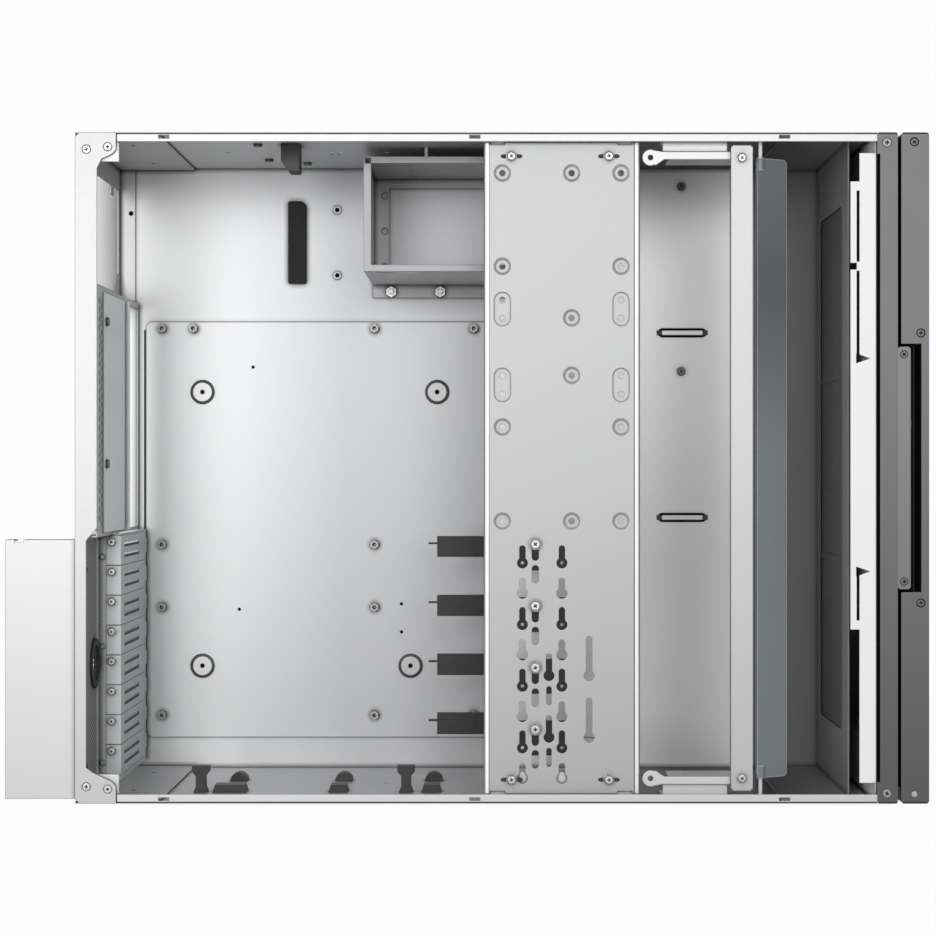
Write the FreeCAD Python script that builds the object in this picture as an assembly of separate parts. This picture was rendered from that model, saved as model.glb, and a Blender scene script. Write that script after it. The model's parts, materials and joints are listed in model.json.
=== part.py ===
"""Empty 4U rackmount server case with its top cover off, folded from sheet steel.

Millimetres. +X points to the front door, +Y to the power supply side, +Z up.
The origin is under the middle of the bounding box, on the surface the case stands on.
"""
import FreeCAD
import Part
import math
import os

V = FreeCAD.Vector

# ---------------------------------------------------------------- driving dimensions
width = 440.0            # outside width of the body
height = 176.0           # four rack units
case_depth = 560.0       # rear flange to door face
hood_reach = 46.0        # how far the rear hood stands out behind the flange
sheet = 1.2              # body sheet
thin_sheet = 1.0         # brackets and inner sheets
fit_gap = 0.2            # clearance between neighbouring sheets
running_gap = 0.05       # radial clearance of a pin in its hole

half = width / 2
x_rear = (hood_reach - case_depth) / 2
x_face = x_rear + case_depth
floor_z = sheet
rim_under = height - sheet
wall_in = half - sheet

# front stack, measured back from the door face
door_depth = 18.2
door_gap = 2.3
frame_depth = 13.5
x_door_back = x_face - door_depth
x_frame_front = x_door_back - door_gap
x_frame_back = x_frame_front - frame_depth
x_tub_front = x_frame_back

# rear wall planes
port_inset = 14.5        # rear flange edge to the inner face of the port wall
slot_inset = 20.0        # rear flange edge to the inner face of the slot wall
mesh_inset = 5.0         # rear flange edge to the vented wall over the slots
x_port_wall = x_rear + port_inset
x_port_back = x_port_wall - thin_sheet
x_slot_wall = x_rear + slot_inset
x_slot_back = x_slot_wall - thin_sheet
x_mesh_wall = x_rear + mesh_inset
y_psu_jog = half - 101.0     # port wall ends and the power supply wall starts
y_slot_jog = 175.4 - half    # slot area ends and the port wall starts

# motherboard grid
standoff_height = 6.35
board_x = 12.1           # slot wall to the first standoff column
board_y = y_slot_jog + 146.3  # first standoff row
column_step = 154.94
column_span = 227.33
row_step = 157.48
row_span = 281.94
small_row = 203.2
small_column = 22.86
thread_r = 1.5

# expansion slots
slot_count = 8
slot_pitch = 20.32
slot_first_y = y_slot_jog - 5.8
cover_offset = -5.75     # slot screw to the middle of its cover
ledge_z = 117.2


# ---------------------------------------------------------------- helpers
def block(x0, x1, y0, y1, z0, z1):
    return Part.makeBox(x1 - x0, y1 - y0, z1 - z0, V(x0, y0, z0))


def post(x, y, z0, z1, radius):
    return Part.makeCylinder(radius, z1 - z0, V(x, y, z0))


def rod_x(x0, x1, y, z, radius):
    return Part.makeCylinder(radius, x1 - x0, V(x0, y, z), V(1, 0, 0))


def rod_y(y0, y1, x, z, radius):
    return Part.makeCylinder(radius, y1 - y0, V(x, y0, z), V(0, 1, 0))


def prism(points, z0, z1):
    """Closed outline of (x, y) points, extruded from z0 to z1."""
    corners = [V(x, y, z0) for x, y in points]
    face = Part.Face(Part.makePolygon(corners + corners[:1]))
    return face.extrude(V(0, 0, z1 - z0))


def prism_y(points, y0, y1):
    """Closed outline of (x, z) points, extruded from y0 to y1."""
    corners = [V(x, y0, z) for x, z in points]
    face = Part.Face(Part.makePolygon(corners + corners[:1]))
    return face.extrude(V(0, y1 - y0, 0))


def round_block(x0, x1, y0, y1, z0, z1, radius):
    """Block with its four upright edges rounded."""
    body = block(x0, x1, y0, y1, z0, z1)
    return body.makeFillet(radius, edges_along(body, 2))


def edges_along(body, axis):
    """Straight edges that run along one axis (0, 1 or 2)."""
    found = []
    for edge in body.Edges:
        start, end = edge.Vertexes[0].Point, edge.Vertexes[-1].Point
        run = end - start
        if run.Length > 0 and abs(abs(run[axis]) - run.Length) < 1e-6:
            found.append(edge)
    return found


def slot_y(x, y0, y1, wide, z0, z1):
    """Upright hole with round ends, from y0 to y1."""
    r = wide / 2
    middle = block(x - r, x + r, y0 + r, y1 - r, z0, z1)
    return middle.fuse([post(x, y0 + r, z0, z1, r), post(x, y1 - r, z0, z1, r)]).removeSplitter()


def slot_x(x0, x1, y, wide, z0, z1):
    """Upright hole with round ends, from x0 to x1."""
    r = wide / 2
    middle = block(x0 + r, x1 - r, y - r, y + r, z0, z1)
    return middle.fuse([post(x0 + r, y, z0, z1, r), post(x1 - r, y, z0, z1, r)]).removeSplitter()


def hexagon_x(x0, x1, y, z, across):
    """Six-sided hole along X."""
    r = across / math.sqrt(3)
    turns = [math.radians(60 * k + 30) for k in range(6)]
    corners = [V(x0, y + r * math.cos(a), z + r * math.sin(a)) for a in turns]
    return Part.Face(Part.makePolygon(corners + corners[:1])).extrude(V(x1 - x0, 0, 0))


def hexagon_z(x, y, z0, z1, across):
    """Six-sided prism along Z."""
    r = across / math.sqrt(3)
    turns = [math.radians(60 * k + 30) for k in range(6)]
    return prism([(x + r * math.cos(a), y + r * math.sin(a)) for a in turns], z0, z1)


def pan_screw(x, y, z, shank=6.0, head_r=3.0, head_h=1.8, shank_r=1.5):
    """Screw standing on its seat at z, with a hexagon drive."""
    head = Part.makeCone(head_r, head_r * 0.8, head_h, V(x, y, z))
    body = head.fuse(post(x, y, z - shank, z, shank_r))
    return body.cut(hexagon_z(x, y, z + head_h * 0.4, z + head_h + 1, head_r * 0.7))


def flat_head(x, y, z_top, head_r, depth, grow=0.0):
    return Part.makeCone(head_r - depth + grow, head_r + grow, depth, V(x, y, z_top - depth))


def flat_screw(x, y, z_top, shank=6.0, head_r=3.0, depth=1.4, shank_r=1.5):
    """Countersunk screw whose head ends level with z_top."""
    body = flat_head(x, y, z_top, head_r, depth).fuse(post(x, y, z_top - shank, z_top - depth, shank_r))
    return body.cut(hexagon_z(x, y, z_top - depth * 0.6, z_top + 1, head_r * 0.7))


def flat_seat(x, y, z_top, head_r=3.0, depth=1.4, shank_r=1.5):
    """Countersunk hole for flat_screw."""
    cone = flat_head(x, y, z_top, head_r, depth, running_gap)
    return cone.fuse(post(x, y, z_top - 12, z_top - depth, shank_r + 0.1))


def mirror_y(shape):
    return shape.mirror(V(0, 0, 0), V(0, 1, 0))


def both_sides(shape):
    return [shape, mirror_y(shape)]


def standoff_places():
    x0 = x_slot_wall + board_x
    rows = [board_y, board_y - row_step, board_y - row_span]
    places = [(x0 + dx, y) for dx in (0, column_step, column_span) for y in rows]
    places.append((x0 + small_column, board_y))
    places += [(x0, board_y - small_row), (x0 + column_step, board_y - small_row)]
    return places


def slot_screw_y(index):
    return slot_first_y - slot_pitch * index


nodes = {}

# ---------------------------------------------------------------- tub
tray_raise = 0.8
tray_z = floor_z + tray_raise
tray_x0 = x_slot_wall + 0.1
tray_x1 = tray_x0 + 335.0
tray_y0 = 23.4 - half
tray_y1 = board_y + 5.0
tray_corner = 4.4
dish_r = 9.0
dish_raise = 1.0
dish_rows = (tray_y1 - 51.2, tray_y0 + 52.1)
dish_columns = ((41.1, 212.6), (41.1, 193.1))     # from the rear edge of the tray
dish_slope = 2.2
hole_r = 1.6             # plain screw hole
spare_r = 1.1
fold_r = 1.1             # outside of a sharp bend in the body sheet
rail_width = 5.9
ear_length = 27.0        # corner ears of the rear flange, along X
ear_tab = 19.0           # tab under each ear, across Y
x_rail_start = x_rear + ear_length + 0.6
hook_places = (58.3, 262.2, 465.3)   # cover hook holes, from the rear edge
hook_length = 7.2
hook_width = 2.2
ear_screws = ((7.5, half - 11.0), (21.5, half - 9.4))
psu_y = y_psu_jog + 45.7  # middle of the power supply bay
pad_size = (13.0, 60.0, 4.0)
x_pad = x_rear + 124.0
boss_x = x_rear + 159.7
boss_half_pitch = 23.9
lance_x = (x_rear + 394.0, x_rear + 429.5)
lance_y = (half - 121.2, half - 256.2)
lance_width = 6.6
lance_strap = 3.4
lance_rise = 1.0
lance_slope = 4.0
rail_hole_step = 110.0
rail_hole_count = 3
rail_hole_r = 2.1
rail_hole_x = x_rear + 90.0
rail_hole_z = height / 2
strap_slot_x = x_rear + 161.0
psu_foot = 12.2          # flange of the power supply wall on the floor


def low_edges(body, level):
    """Edges along X that lie at one height."""
    return [edge for edge in edges_along(body, 0) if abs(edge.Vertexes[0].Point.z - level) < 1e-6]


def folded_sheet():
    """Floor and side walls, bent from one sheet."""
    outside = block(x_rear, x_tub_front, -half, half, 0, rim_under)
    outside = outside.makeFillet(fold_r, low_edges(outside, 0))
    return outside.cut(block(x_rear - 1, x_tub_front + 1, -wall_in, wall_in, sheet, height))


def top_rail():
    """Rim on the power supply side, bent inwards over the wall."""
    rail = block(x_rail_start, x_tub_front, half - rail_width, half, rim_under, height)
    bend = [edge for edge in low_edges(rail, height) if edge.Vertexes[0].Point.y > half - 1]
    return rail.makeFillet(fold_r, bend)


def dish_places():
    return [(tray_x0 + dx, y) for y, columns in zip(dish_rows, dish_columns) for dx in columns]


def strap_lance(y):
    """Cable strap lanced out of the floor: both ends stay in the sheet."""
    x0, x1 = lance_x[0] - 1.0, lance_x[1] + 1.0
    top = floor_z + lance_rise
    profile = [(x0, 0), (x0, floor_z), (x0 + lance_slope, top), (x1 - lance_slope, top), (x1, floor_z),
               (x1, 0), (x1 - sheet, 0), (x1 - lance_slope - 1, lance_rise),
               (x0 + lance_slope + 1, lance_rise), (x0 + sheet, 0)]
    return prism_y(profile, y - lance_strap / 2, y + lance_strap / 2)


def make_tub():
    tub = folded_sheet()
    parts = both_sides(top_rail())
    parts += both_sides(block(x_mesh_wall, x_rail_start + sheet, half - ear_tab, wall_in,
                              rim_under - sheet, rim_under))
    parts.append(round_block(tray_x0, tray_x1, tray_y0, tray_y1, 0, tray_z, tray_corner))
    dishes = dish_places()
    parts += [Part.makeCone(dish_r, dish_r - dish_slope, dish_raise, V(x, y, tray_z)) for x, y in dishes]
    bosses = [(boss_x, psu_y - boss_half_pitch), (boss_x, psu_y + boss_half_pitch)]
    parts += [post(x, y, 0, floor_z + 1.0, 3.0) for x, y in bosses]
    tub = tub.fuse(parts)

    cuts = [round_block(tray_x0 + sheet, tray_x1 - sheet, tray_y0 + sheet, tray_y1 - sheet,
                        -1, tray_raise, tray_corner - sheet)]
    hollow_r = dish_r - sheet / 2
    cuts += [Part.makeCone(hollow_r, hollow_r - dish_slope, dish_raise, V(x, y, tray_raise)) for x, y in dishes]
    cuts += [post(x, y, -1, 9, hole_r) for x, y in dishes + bosses + [psu_foot_hole()]]
    cuts += [post(x, y, -1, 9, thread_r + 0.6) for x, y in standoff_places()]
    for place in hook_places:
        x = x_rear + place
        cuts += both_sides(block(x - hook_length / 2, x + hook_length / 2, half - 4.0,
                                 half - 4.0 + hook_width, rim_under - 1, height + 1))
    for dx, y in ear_screws:
        cuts += both_sides(post(x_rear + dx, y, rim_under - 3, height, 2.0))
    for k in range(rail_hole_count):
        x = rail_hole_x + rail_hole_step * k
        cuts += both_sides(rod_y(wall_in - 1, half + 1, x, rail_hole_z, rail_hole_r))
    cuts += [post(x, y, -1, 9, spare_r) for x, y in spare_holes()]
    cuts += [post(x, y, -1, 9, hole_r) for x, y in floor_screw_places()]
    cuts += [slot_x(*lance_x, y, lance_width, -1, 9) for y in lance_y]
    cuts += [block(x, x + 1.6, wall_in - 1, half + 1, 75, 88) for x in (strap_slot_x, strap_slot_x + 5)]
    cuts += [rod_y(wall_in - 1, half + 1, x, z, hole_r) for x, z in wall_screw_places()]
    return tub.cut(cuts).fuse([strap_lance(y) for y in lance_y]).removeSplitter()


def psu_foot_hole():
    return (x_rear + psu_foot - 3.2, psu_y + 21.3)


def floor_screw_places():
    return [(x_tub_front - 115.0, half - 14.2), (x_tub_front - 115.0, half - 149.5)]


def spare_holes():
    """Small tooling and spare holes of the floor tray."""
    along = ((78.0, 33.0), (68.0, 210.0), (186.5, 206.0), (186.5, 226.5), (263.0, 206.0))
    return [(tray_x0 + dx, tray_y1 - dy) for dx, dy in along]


def wall_screw_places():
    return [(x_rear + 115.0, 129.0), (x_rear + 115.0, 52.0), (x_rear + 140.7, 34.5)]


nodes["chassis_tub"] = make_tub()


def make_standoff(x, y):
    body = hexagon_z(x, y, tray_z, tray_z + standoff_height, 5.5)
    stem = post(x, y, 0.2, tray_z, thread_r + 0.5)
    return body.fuse(stem).cut(post(x, y, tray_z + 1, tray_z + 9, thread_r))


nodes["board_standoffs"] = Part.makeCompound([make_standoff(x, y) for x, y in standoff_places()])


def make_foam_pad():
    dx, dy, dz = pad_size
    y0, y1 = psu_y - dy / 2, psu_y + dy / 2
    corner = 3.0
    x1 = x_pad + dx
    points = [(x_pad, y0), (x1, y0), (x1, y1 - corner), (x1 - corner, y1), (x_pad, y1)]
    return prism(points, floor_z, floor_z + dz)


nodes["psu_foam_pad"] = make_foam_pad()


def make_wall_screw(x, z):
    head = rod_y(wall_in - 1.8, wall_in, x, z, 2.9)
    return head.fuse(rod_y(wall_in, half - 0.2, x, z, 1.5))


# ---------------------------------------------------------------- rear panel
flange_narrow = 7.4
flange_corner = 3.0
ear_y = half - 14.4
gusset_length = 56.0
psu_open = (75.0, 142.0)         # across Y, up Z
psu_bottom = floor_z + pad_size[2]
psu_size = (86.0, 150.0)
psu_holes = ((6.0, 6.0), (6.0, 144.0), (80.0, 30.0), (70.0, 144.0))
psu_hole_r = 2.1
psu_clip = 14.0                  # corners of the window that pass inside the screw holes
psu_clip_high = 20.0
psu_tab = 4.0                    # web round the hole in the side of the window
port_open = (y_psu_jog - y_slot_jog - 4.85, 44.45)
port_y = (y_psu_jog + y_slot_jog) / 2 - 0.2
port_z = 4.0
fan_plate_z = (66.0, height - 22.0)
fan_open_z = (fan_plate_z[0] + 4.0, fan_plate_z[1] - 4.0)
fan_open_half = port_open[0] / 2 - 3.4
grommet_y = slot_screw_y(4) + 0.6
grommet_z = height - 38.5
grommet_r = 15.0
foot_width = 5.5
vent_pitch = 6.0
vent_across = 4.4


def make_flange():
    """Top flange outline with its two screw ears."""
    x1 = x_port_wall
    x2 = x_rear + flange_narrow
    x3 = x_rear + ear_length
    c = flange_corner
    points = [
        (x_rear, -half + c), (x_rear + c, -half), (x3, -half), (x3, -ear_y - 3), (x3 - 3, -ear_y),
        (x2 + 4, -ear_y + 6), (x2, -ear_y + 9), (x2, y_slot_jog - 3), (x1, y_slot_jog + 5),
        (x1, ear_y - 9), (x1 + 3, ear_y - 3), (x3 - 3, ear_y), (x3, ear_y + 3), (x3, half),
        (x_rear + c, half), (x_rear, half - c),
    ]
    return prism(points, rim_under, height)


def vent_rows(x0, x1, y0, y1, z0, z1):
    """Staggered six-sided holes that fill a rectangle of an upright wall."""
    holes = []
    row_count = int((z1 - z0 - vent_across) / vent_pitch) + 1
    for row in range(row_count):
        shift = vent_pitch / 2 * (row % 2)
        y = y0 + vent_across / 2 + shift
        z = z0 + vent_across / 2 + row * vent_pitch
        while y < y1 - vent_across / 2:
            holes.append(hexagon_x(x0, x1, y, z, vent_across))
            y += vent_pitch
    return holes


def psu_window():
    """Power supply opening, cut back round its four screw holes."""
    y0, y1 = psu_y - psu_open[0] / 2, psu_y + psu_open[0] / 2
    z0, z1 = psu_bottom + 4, psu_bottom + 4 + psu_open[1]
    hole_y = psu_y - psu_size[0] / 2 + psu_holes[2][0]
    hole_z = psu_bottom + psu_holes[2][1]
    reach = psu_hole_r + psu_tab
    in_y, low, high = hole_y - reach, hole_z - reach, hole_z + reach
    outline = [(y0 + psu_clip, z0), (y1, z0), (y1, low), (in_y, low), (in_y, high), (y1, high),
               (y1, z1 - psu_clip_high), (y1 - psu_clip_high, z1), (y0 + psu_clip, z1), (y0, z1 - psu_clip),
               (y0, z0 + psu_clip)]
    corners = [V(x_rear - 1, y, z) for y, z in outline]
    return Part.Face(Part.makePolygon(corners + corners[:1])).extrude(V(thin_sheet + 2, 0, 0))


def make_rear_panel():
    inner = wall_in - fit_gap
    t = thin_sheet
    parts = [
        block(x_rear, x_rear + t, y_psu_jog, inner, floor_z, rim_under),
        block(x_rear, x_rear + psu_foot, y_psu_jog, inner, floor_z, floor_z + t),
        block(x_rear, x_port_wall, y_psu_jog, y_psu_jog + t, floor_z, rim_under),
        block(x_port_back, x_port_wall, y_slot_jog, y_psu_jog + t, floor_z, rim_under),
        block(x_mesh_wall, x_port_wall, y_slot_jog - t, y_slot_jog, ledge_z, rim_under),
        block(x_mesh_wall, x_mesh_wall + t, -inner, y_slot_jog, ledge_z, rim_under),
        block(x_mesh_wall, x_mesh_wall + foot_width, -inner, y_slot_jog, ledge_z, ledge_z + t),
        block(x_rear, x_rear + gusset_length, inner - t, inner, floor_z, rim_under - sheet),
        block(x_mesh_wall, x_rear + gusset_length, -inner, -inner + t, floor_z, rim_under - sheet),
    ]
    panel = make_flange().fuse(parts)

    psu_y0 = psu_y - psu_size[0] / 2
    cuts = [psu_window(), post(*psu_foot_hole(), 0, 9, hole_r)]
    cuts += [rod_x(x_rear - 1, x_rear + t + 1, psu_y0 + dy, psu_bottom + dz, psu_hole_r)
             for dy, dz in psu_holes]
    cuts.append(block(x_port_back - 1, x_port_wall + 1, port_y - port_open[0] / 2,
                      port_y + port_open[0] / 2, port_z, port_z + port_open[1]))
    cuts.append(block(x_port_back - 1, x_port_wall + 1, port_y - fan_open_half,
                      port_y + fan_open_half, *fan_open_z))
    cuts += vent_rows(x_port_back - 1, x_port_wall + 1, y_slot_jog + 6, y_psu_jog - 4,
                      fan_plate_z[1] + 3, rim_under - 3)
    cuts.append(rod_x(x_mesh_wall - 1, x_mesh_wall + t + 1, grommet_y, grommet_z, grommet_r))
    cuts += [flat_seat(x_rear + dx, y * side, height) for dx, y in ear_screws for side in (1, -1)]
    cuts += [post(x, y, ledge_z - 1, ledge_z + t + 1, 1.25) for x, y in rivet_places()]
    cuts += both_sides(block(x_rear - 1, x_rear + 3, wall_in - 18, half, rim_under - sheet - 0.2, rim_under))
    cuts += both_sides(block(x_mesh_wall - 1, x_rail_start, half - ear_tab - fit_gap, half,
                             rim_under - sheet, rim_under))
    cuts += [rod_y(-half, -inner + 2, x, z, 1.6) for x, z in gusset_screw_places()]
    cuts += [rod_y(inner - 2, half, x, z, 1.6) for x, z in gusset_screw_places()]
    return panel.cut(cuts).removeSplitter()


def rivet_places():
    x = x_mesh_wall + thin_sheet + 2.3
    return [(x, slot_screw_y(k) + slot_pitch / 2) for k in (1, 4)] + [(x, slot_screw_y(7) - 8.0)]


def gusset_screw_places():
    return [(x_rear + 31.0, 40.0), (x_rear + 31.0, 130.0)]


nodes["rear_panel"] = make_rear_panel()
nodes["rear_flange_screws"] = Part.makeCompound(
    [flat_screw(x_rear + dx, y * side, height) for dx, y in ear_screws for side in (1, -1)])


def make_fan_plate():
    """Blanking plate over the rear fan window, on the inside of the port wall."""
    t = thin_sheet
    y0, y1 = port_y - fan_open_half - 4, port_y + fan_open_half + 4
    plate = block(x_port_wall, x_port_wall + t, y0, y1, *fan_plate_z)
    lip = block(x_port_wall, x_port_wall + 4, y0, y1, fan_plate_z[0], fan_plate_z[0] + t)
    holes = [rod_x(x_port_wall - 1, x_port_wall + 6, y, fan_plate_z[1] - 9, 1.6) for y in fan_plate_screw_y()]
    return plate.fuse(lip).cut(holes).removeSplitter()


def fan_plate_screw_y():
    return (port_y + fan_open_half * 0.8, port_y - fan_open_half * 0.45)


def make_fan_plate_screw(y):
    head = rod_x(x_port_wall + thin_sheet, x_port_wall + thin_sheet + 1.8, y, fan_plate_z[1] - 9, 2.9)
    return head.fuse(rod_x(x_port_wall + 0.2, x_port_wall + thin_sheet, y, fan_plate_z[1] - 9, 1.5))


nodes["fan_blank_plate"] = make_fan_plate()


def make_grommet():
    flange = 1.4
    x0, x1 = x_mesh_wall - flange, x_mesh_wall + thin_sheet + flange
    ring = rod_x(x0, x1, grommet_y, grommet_z, grommet_r + 1.8)
    groove = rod_x(x_mesh_wall, x_mesh_wall + thin_sheet, grommet_y, grommet_z, grommet_r + 5)
    neck = rod_x(x_mesh_wall, x_mesh_wall + thin_sheet, grommet_y, grommet_z, grommet_r - running_gap)
    bore = rod_x(x0 - 1, x1 + 1, grommet_y, grommet_z, grommet_r - 3.2)
    return ring.cut(groove).fuse(neck).cut(bore).removeSplitter()


nodes["cable_grommet"] = make_grommet()

# ---------------------------------------------------------------- expansion slots
slot_window = 12.6
slot_window_z = (8.0, 112.0)
cover_width = 19.9
cover_sheet = 0.8
cover_bottom = 4.0
cover_tab = 12.0
screw_x = x_slot_wall - 5.6
frame_y0 = slot_screw_y(slot_count - 1) - 20.0
cover_slot = 3.0
cover_slot_z = (40.0, 104.0)


def cover_y(index):
    return slot_screw_y(index) + cover_offset


def make_slot_frame():
    t = thin_sheet
    wall = block(x_slot_back, x_slot_wall, frame_y0, y_slot_jog - fit_gap, floor_z, ledge_z)
    ledge = block(x_mesh_wall, x_slot_wall, frame_y0, y_slot_jog - fit_gap, ledge_z - t, ledge_z)
    cuts = []
    for k in range(slot_count):
        y = cover_y(k)
        cuts.append(block(x_slot_back - 1, x_slot_wall + 1, y - slot_window / 2, y + slot_window / 2,
                          *slot_window_z))
        cuts.append(post(screw_x, slot_screw_y(k), ledge_z - 3, ledge_z + 1, 1.6))
    cuts += [post(x, y, ledge_z - 3, ledge_z + 1, 1.25) for x, y in rivet_places()]
    return wall.fuse(ledge).cut(cuts).removeSplitter()


nodes["slot_frame"] = make_slot_frame()


def make_rivet(x, y):
    top = ledge_z + thin_sheet
    head = Part.makeCone(2.2, 1.3, 1.0, V(x, y, top))
    shank = post(x, y, ledge_z - thin_sheet, top, 1.2)
    tail = post(x, y, ledge_z - thin_sheet - 0.8, ledge_z - thin_sheet, 1.8)
    return head.fuse([shank, tail])


nodes["slot_frame_rivets"] = Part.makeCompound([make_rivet(x, y) for x, y in rivet_places()])


def make_slot_cover(index):
    """Blade with a narrowed foot, two long vents and a notched screw tab."""
    y = cover_y(index)
    w = cover_width / 2
    x0, x1 = x_slot_wall, x_slot_wall + cover_sheet
    taper = 12.0
    foot = 5.0
    outline = [(-w, ledge_z + cover_sheet), (-w, cover_bottom + taper), (-foot, cover_bottom + 4),
               (-foot, cover_bottom), (foot, cover_bottom), (foot, cover_bottom + 4),
               (w, cover_bottom + taper), (w, ledge_z + cover_sheet)]
    corners = [V(x0, y + dy, z) for dy, z in outline]
    blade = Part.Face(Part.makePolygon(corners + corners[:1])).extrude(V(cover_sheet, 0, 0))
    tab = block(x0 - cover_tab, x1, y - w, y + w, ledge_z, ledge_z + cover_sheet)
    tab = tab.cut(block(x0 - cover_tab - 1, x_mesh_wall + foot_width + 0.1, y - w - 1, y + w + 1, ledge_z - 1,
                        ledge_z + 3))
    notch = post(screw_x, slot_screw_y(index), ledge_z - 1, ledge_z + 3, 1.9)
    vents = []
    for dy in (-3.6, 3.6):
        vents.append(block(x0 - 1, x1 + 1, y + dy - cover_slot / 2, y + dy + cover_slot / 2, *cover_slot_z))
    return blade.fuse(tab).cut([notch] + vents).removeSplitter()


for index in range(slot_count):
    nodes["slot_cover_%d" % (index + 1)] = make_slot_cover(index)
nodes["slot_cover_screws"] = Part.makeCompound(
    [pan_screw(screw_x, slot_screw_y(k), ledge_z + cover_sheet, 5.0, 3.1, 2.2) for k in range(slot_count)])

# ---------------------------------------------------------------- rear hood
hood_y = (3.0 - half, y_slot_jog - 2.4)
hood_lip = 12.0
hood_drop = 0.2
x_hood = x_rear - hood_reach


def make_hood():
    t = thin_sheet
    top = rim_under - hood_drop
    y0, y1 = hood_y
    low = top - hood_lip
    parts = [
        block(x_hood, x_hood + t, y0, y1, low, top),
        block(x_hood, x_mesh_wall - 2 * t, y0, y0 + t, low, top),
        block(x_hood, x_mesh_wall - 2 * t, y1 - t, y1, low, top),
        block(x_mesh_wall - t, x_mesh_wall, y0 + 2, y1 - 2, low, top),
    ]
    hood = block(x_hood, x_mesh_wall, y0, y1, top - t, top).fuse(parts)
    notch = block(x_hood + 6, x_hood + 12, y1 - 2 * t, y1 + 1, low - 1, top + 1)
    return hood.cut([notch] + [rod_x(x_mesh_wall - 3, x_mesh_wall + 3, y, hood_screw_z(), 1.6)
                               for y in hood_screw_y()]).removeSplitter()


def hood_screw_z():
    return rim_under - hood_drop - hood_lip / 2


def hood_screw_y():
    return (hood_y[0] + 20.0, hood_y[1] - 20.0)


def make_hood_screw(y):
    z = hood_screw_z()
    head = rod_x(x_mesh_wall - thin_sheet - 1.8, x_mesh_wall - thin_sheet, y, z, 2.9)
    return head.fuse(rod_x(x_mesh_wall - thin_sheet, x_mesh_wall + 2.5, y, z, 1.5))


nodes["rear_hood"] = make_hood()
nodes["panel_screws"] = Part.makeCompound(
    [make_wall_screw(x, z) for x, z in wall_screw_places()]
    + [pan_screw(x, y, floor_z, sheet - 0.2, 3.2, 1.8) for x, y in floor_screw_places()]
    + [make_fan_plate_screw(y) for y in fan_plate_screw_y()]
    + [make_hood_screw(y) for y in hood_screw_y()])
nodes["rear_panel"] = nodes["rear_panel"].cut(
    [rod_x(x_mesh_wall - 3, x_mesh_wall + 3, y, hood_screw_z(), 1.6) for y in hood_screw_y()])

# ---------------------------------------------------------------- bridge plate
bridge_z = height - 8.0
bridge_x = (x_tub_front - 258.0, x_tub_front - 155.0)
bridge_half = half - 5.5
bridge_lip = 14.0
bridge_columns = (12.3, 58.0, 90.5)
bridge_rows = tuple(bridge_half - drop for drop in (20.1, 81.6, 115.6, 153.5, 187.5, 249.6))
dimple_rows = ("abc", "ac", "b", "b", "ac", "abc")     # the columns that each row has
bridge_screw_dx = (18.3, 82.5)
bridge_screw_y = bridge_half - 9.1
dimple_r = 5.8
dimple_floor_r = 4.2
dimple_depth = 0.9       # pressed down; the sheet bulges below
dimple_bulge = 0.5
bridge_bend = 2.2
drive_hole_r = 2.0
oval_rows = (bridge_half - 109.8, bridge_half - 159.8)
oval_length = 22.4
oval_width = 11.0
oval_depth = 0.5
bracket_depth = 14.0

# card holders under the bridge
holder_count = 4
holder_pitch = 2 * slot_pitch
holder_travel = 8.0
holder_sheet = 1.6
key_columns = (25.5, 51.5)
knob_column = 34.0
key_slot = 4.0
key_round_r = 3.5
arm_width = 14.2
arm_top = 101.0
arm_height = 9.0
arm_reach = 32.6         # rearwards from the bridge edge


def holder_y(index):
    return slot_screw_y(0) + 0.3 - holder_pitch * index


def keyhole(x, y_end, y_round, z0, z1):
    """Slot from y_end down to a round opening at y_round."""
    slot = slot_y(x, y_round - key_slot / 2, y_end, key_slot, z0, z1)
    return slot.fuse(post(x, y_round, z0, z1, key_round_r))


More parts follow.
